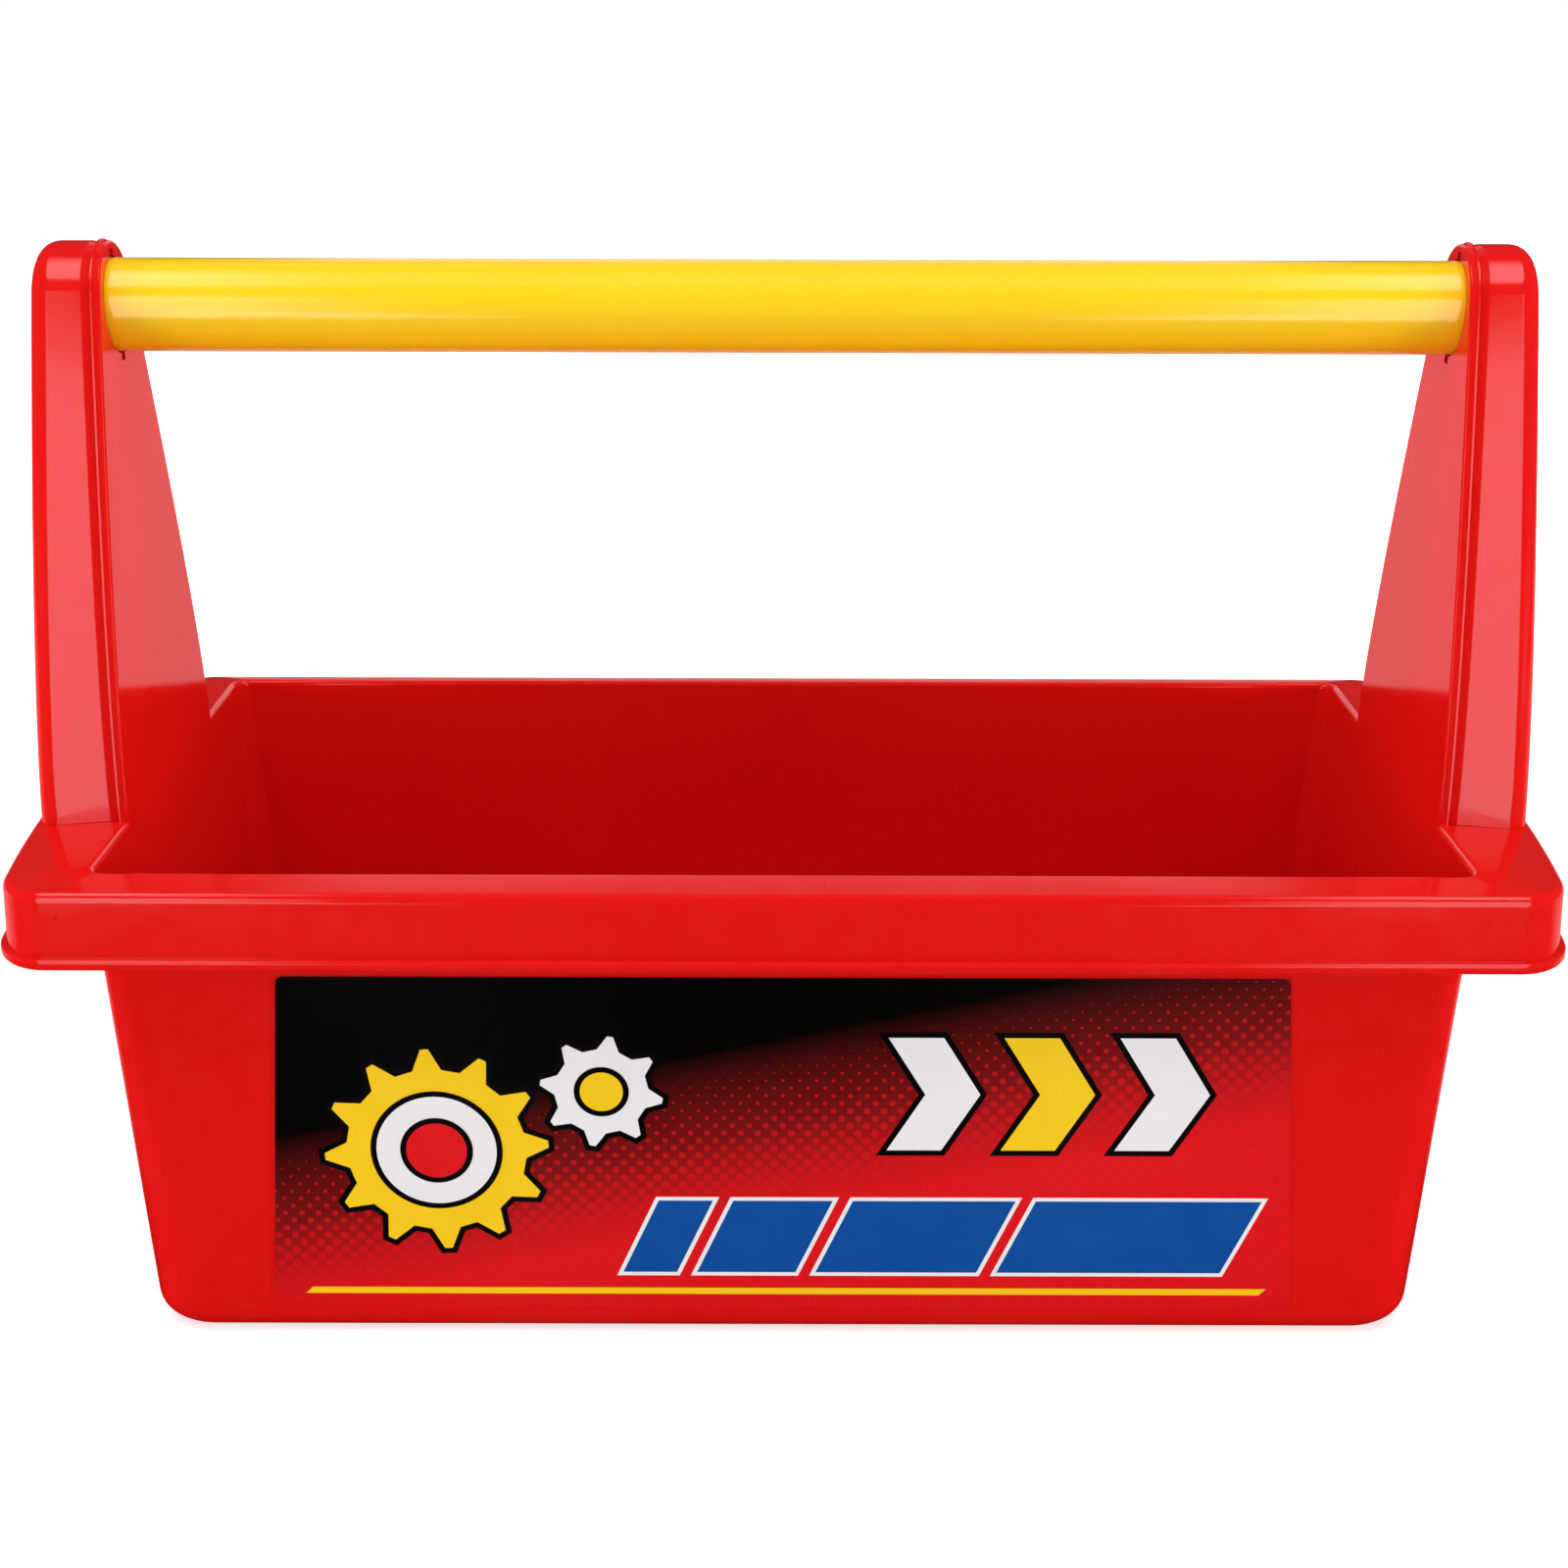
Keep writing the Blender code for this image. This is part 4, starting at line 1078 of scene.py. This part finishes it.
def glowing_reflection_tent():
    """Glowing studio flats that only reflections see, their glow shaded by the direction from the tent's eye:
    painted reflections, not lamps. In front, left and right of a dark gap, stand two tall glowing soft boxes,
    each parted by a dark strip, over dark paper. Behind, the floor glows pale red, a painted reflection of
    the red light that the object throws on it, and a narrow pale flat stands in the middle, dimmer higher up."""
    material, shader = new_material("glowing_reflection_flats")
    shader.inputs["Base Color"].default_value = linear("000000")
    shader.inputs["Specular IOR Level"].default_value = 0.0
    shader.inputs["Emission Strength"].default_value = 1.0
    place = add_node(material, "ShaderNodeTexCoord").outputs["Object"]
    seen_from = add_node(material, "ShaderNodeMapping", Vector=place, Location=(0, 0, -TENT_EYE))
    way = add_node(material, "ShaderNodeVectorMath", {"operation": "NORMALIZE"},
                   _0=seen_from.outputs["Vector"])
    split = add_node(material, "ShaderNodeSeparateXYZ", Vector=way.outputs["Vector"])
    aside = add_node(material, "ShaderNodeMath", {"operation": "ABSOLUTE"}, _0=split.outputs["X"])
    height = add_node(material, "ShaderNodeMapRange", Value=split.outputs["Z"], From_Min=-1.0)
    across_boxes = add_node(material, "ShaderNodeValToRGB", Fac=aside.outputs["Value"])
    up_boxes = add_node(material, "ShaderNodeValToRGB", Fac=height.outputs["Result"])
    up_back = add_node(material, "ShaderNodeValToRGB", Fac=height.outputs["Result"])
    over_back = add_node(material, "ShaderNodeValToRGB", Fac=height.outputs["Result"])
    for ramp, stops in ((across_boxes, BOX_ASIDE_STOPS), (up_boxes, BOX_HEIGHT_STOPS),
                        (up_back, BACK_FLOOR_RED_GLOW_STOPS), (over_back, BACK_HEIGHT_STOPS)):
        while len(ramp.color_ramp.elements) < len(stops):
            ramp.color_ramp.elements.new(1.0)
        for element, (position, level) in zip(ramp.color_ramp.elements, stops):
            element.position = position if ramp is across_boxes else (position + 1) / 2
            element.color = linear(level) if isinstance(level, str) else (level, level, level, 1)
    boxes = add_node(material, "ShaderNodeMath", {"operation": "MULTIPLY"}, _0=across_boxes.outputs["Color"],
                     _1=up_boxes.outputs["Color"])
    lit_boxes = add_node(material, "ShaderNodeMath", {"operation": "MULTIPLY"}, _0=boxes.outputs["Value"],
                         _1=BOX_LEVEL)
    behind = add_node(material, "ShaderNodeMapRange", Value=split.outputs["Y"], From_Min=BACK_START,
                      From_Max=BACK_FULL)
    middle = add_node(material, "ShaderNodeMapRange", Value=aside.outputs["Value"],
                      From_Min=BACK_MIDDLE_SHARE, From_Max=BACK_EDGE_SHARE, To_Min=1.0, To_Max=0.0)
    flat = add_node(material, "ShaderNodeMath", {"operation": "MULTIPLY"}, _0=middle.outputs["Result"],
                    _1=over_back.outputs["Color"])
    back = add_node(material, "ShaderNodeMix", {"data_type": "RGBA", "blend_type": "ADD"}, Factor=1.0,
                    _6=up_back.outputs["Color"], _7=flat.outputs["Value"])
    glow = add_node(material, "ShaderNodeMix", {"data_type": "RGBA"}, Factor=behind.outputs["Result"],
                    _6=lit_boxes.outputs["Value"], _7=back.outputs[2])
    link(material, glow.outputs[2], shader.inputs["Emission Color"])
    return material


def place_tent():
    """Flats on all sides and just over the floor. They light nothing and cast no shadow."""
    deselect_all()
    bpy.ops.mesh.primitive_cube_add(size=1)
    tent = bpy.context.object
    tent.name = "studio_tent"
    tent.scale = (TENT_WIDTH, TENT_WIDTH, TENT_HEIGHT)
    tent.location = (0, 0, TENT_HEIGHT / 2 + TENT_LIFT)
    apply_place(tent)
    tent.visible_camera = False
    tent.visible_diffuse = False
    tent.visible_transmission = False
    tent.visible_shadow = False
    dress(tent, glowing_reflection_tent())


def light_world():
    """White to the eye and to reflections, softer as a light."""
    world = bpy.data.worlds.new("white_studio")
    world.use_nodes = True
    bpy.context.scene.world = world
    background = world.node_tree.nodes["Background"]
    strength = add_node(world, "ShaderNodeMapRange", Value=seen_by_eye(world), To_Min=WORLD_FILL, To_Max=1.0)
    background.inputs["Color"].default_value = (1, 1, 1, 1)
    link(world, strength.outputs["Result"], background.inputs["Strength"])


def add_softbox(name, place, target, size, radiance):
    """A rectangular lamp whose face shines at the given level, whatever its size."""
    facing = (Vector(target) - Vector(place)).to_track_quat("-Z", "Y").to_euler()
    bpy.ops.object.light_add(type="AREA", location=place, rotation=facing)
    lamp = bpy.context.object
    lamp.name = name
    lamp.data.shape = "RECTANGLE"
    lamp.data.size, lamp.data.size_y = size
    lamp.data.energy = radiance * math.pi * size[0] * size[1]
    lamp.visible_glossy = False


tub = model_tub()
right_cover = model_cover()
left_cover = turned_copy(right_cover, "left_cover_moulding")
handle = model_handle()
label = model_label()
artwork = model_print()
seat(tub, "box", "tub")
seat(right_cover, "box", "right_end_cover")
seat(left_cover, "box", "left_end_cover")
seat(handle, "handle", "handle_bar")
seat(label, "box", "front_label")
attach(artwork, "box")

red = moulded_red_polypropylene()
for piece in (tub, right_cover, left_cover):
    dress(piece, red)
dress(handle, extruded_yellow_polypropylene())
dress(label, printed_vinyl())

bpy.context.scene.view_settings.view_transform = "Standard"
place_camera()
place_floor()
place_tent()
light_world()
for softbox in SOFTBOXES:
    add_softbox(*softbox)
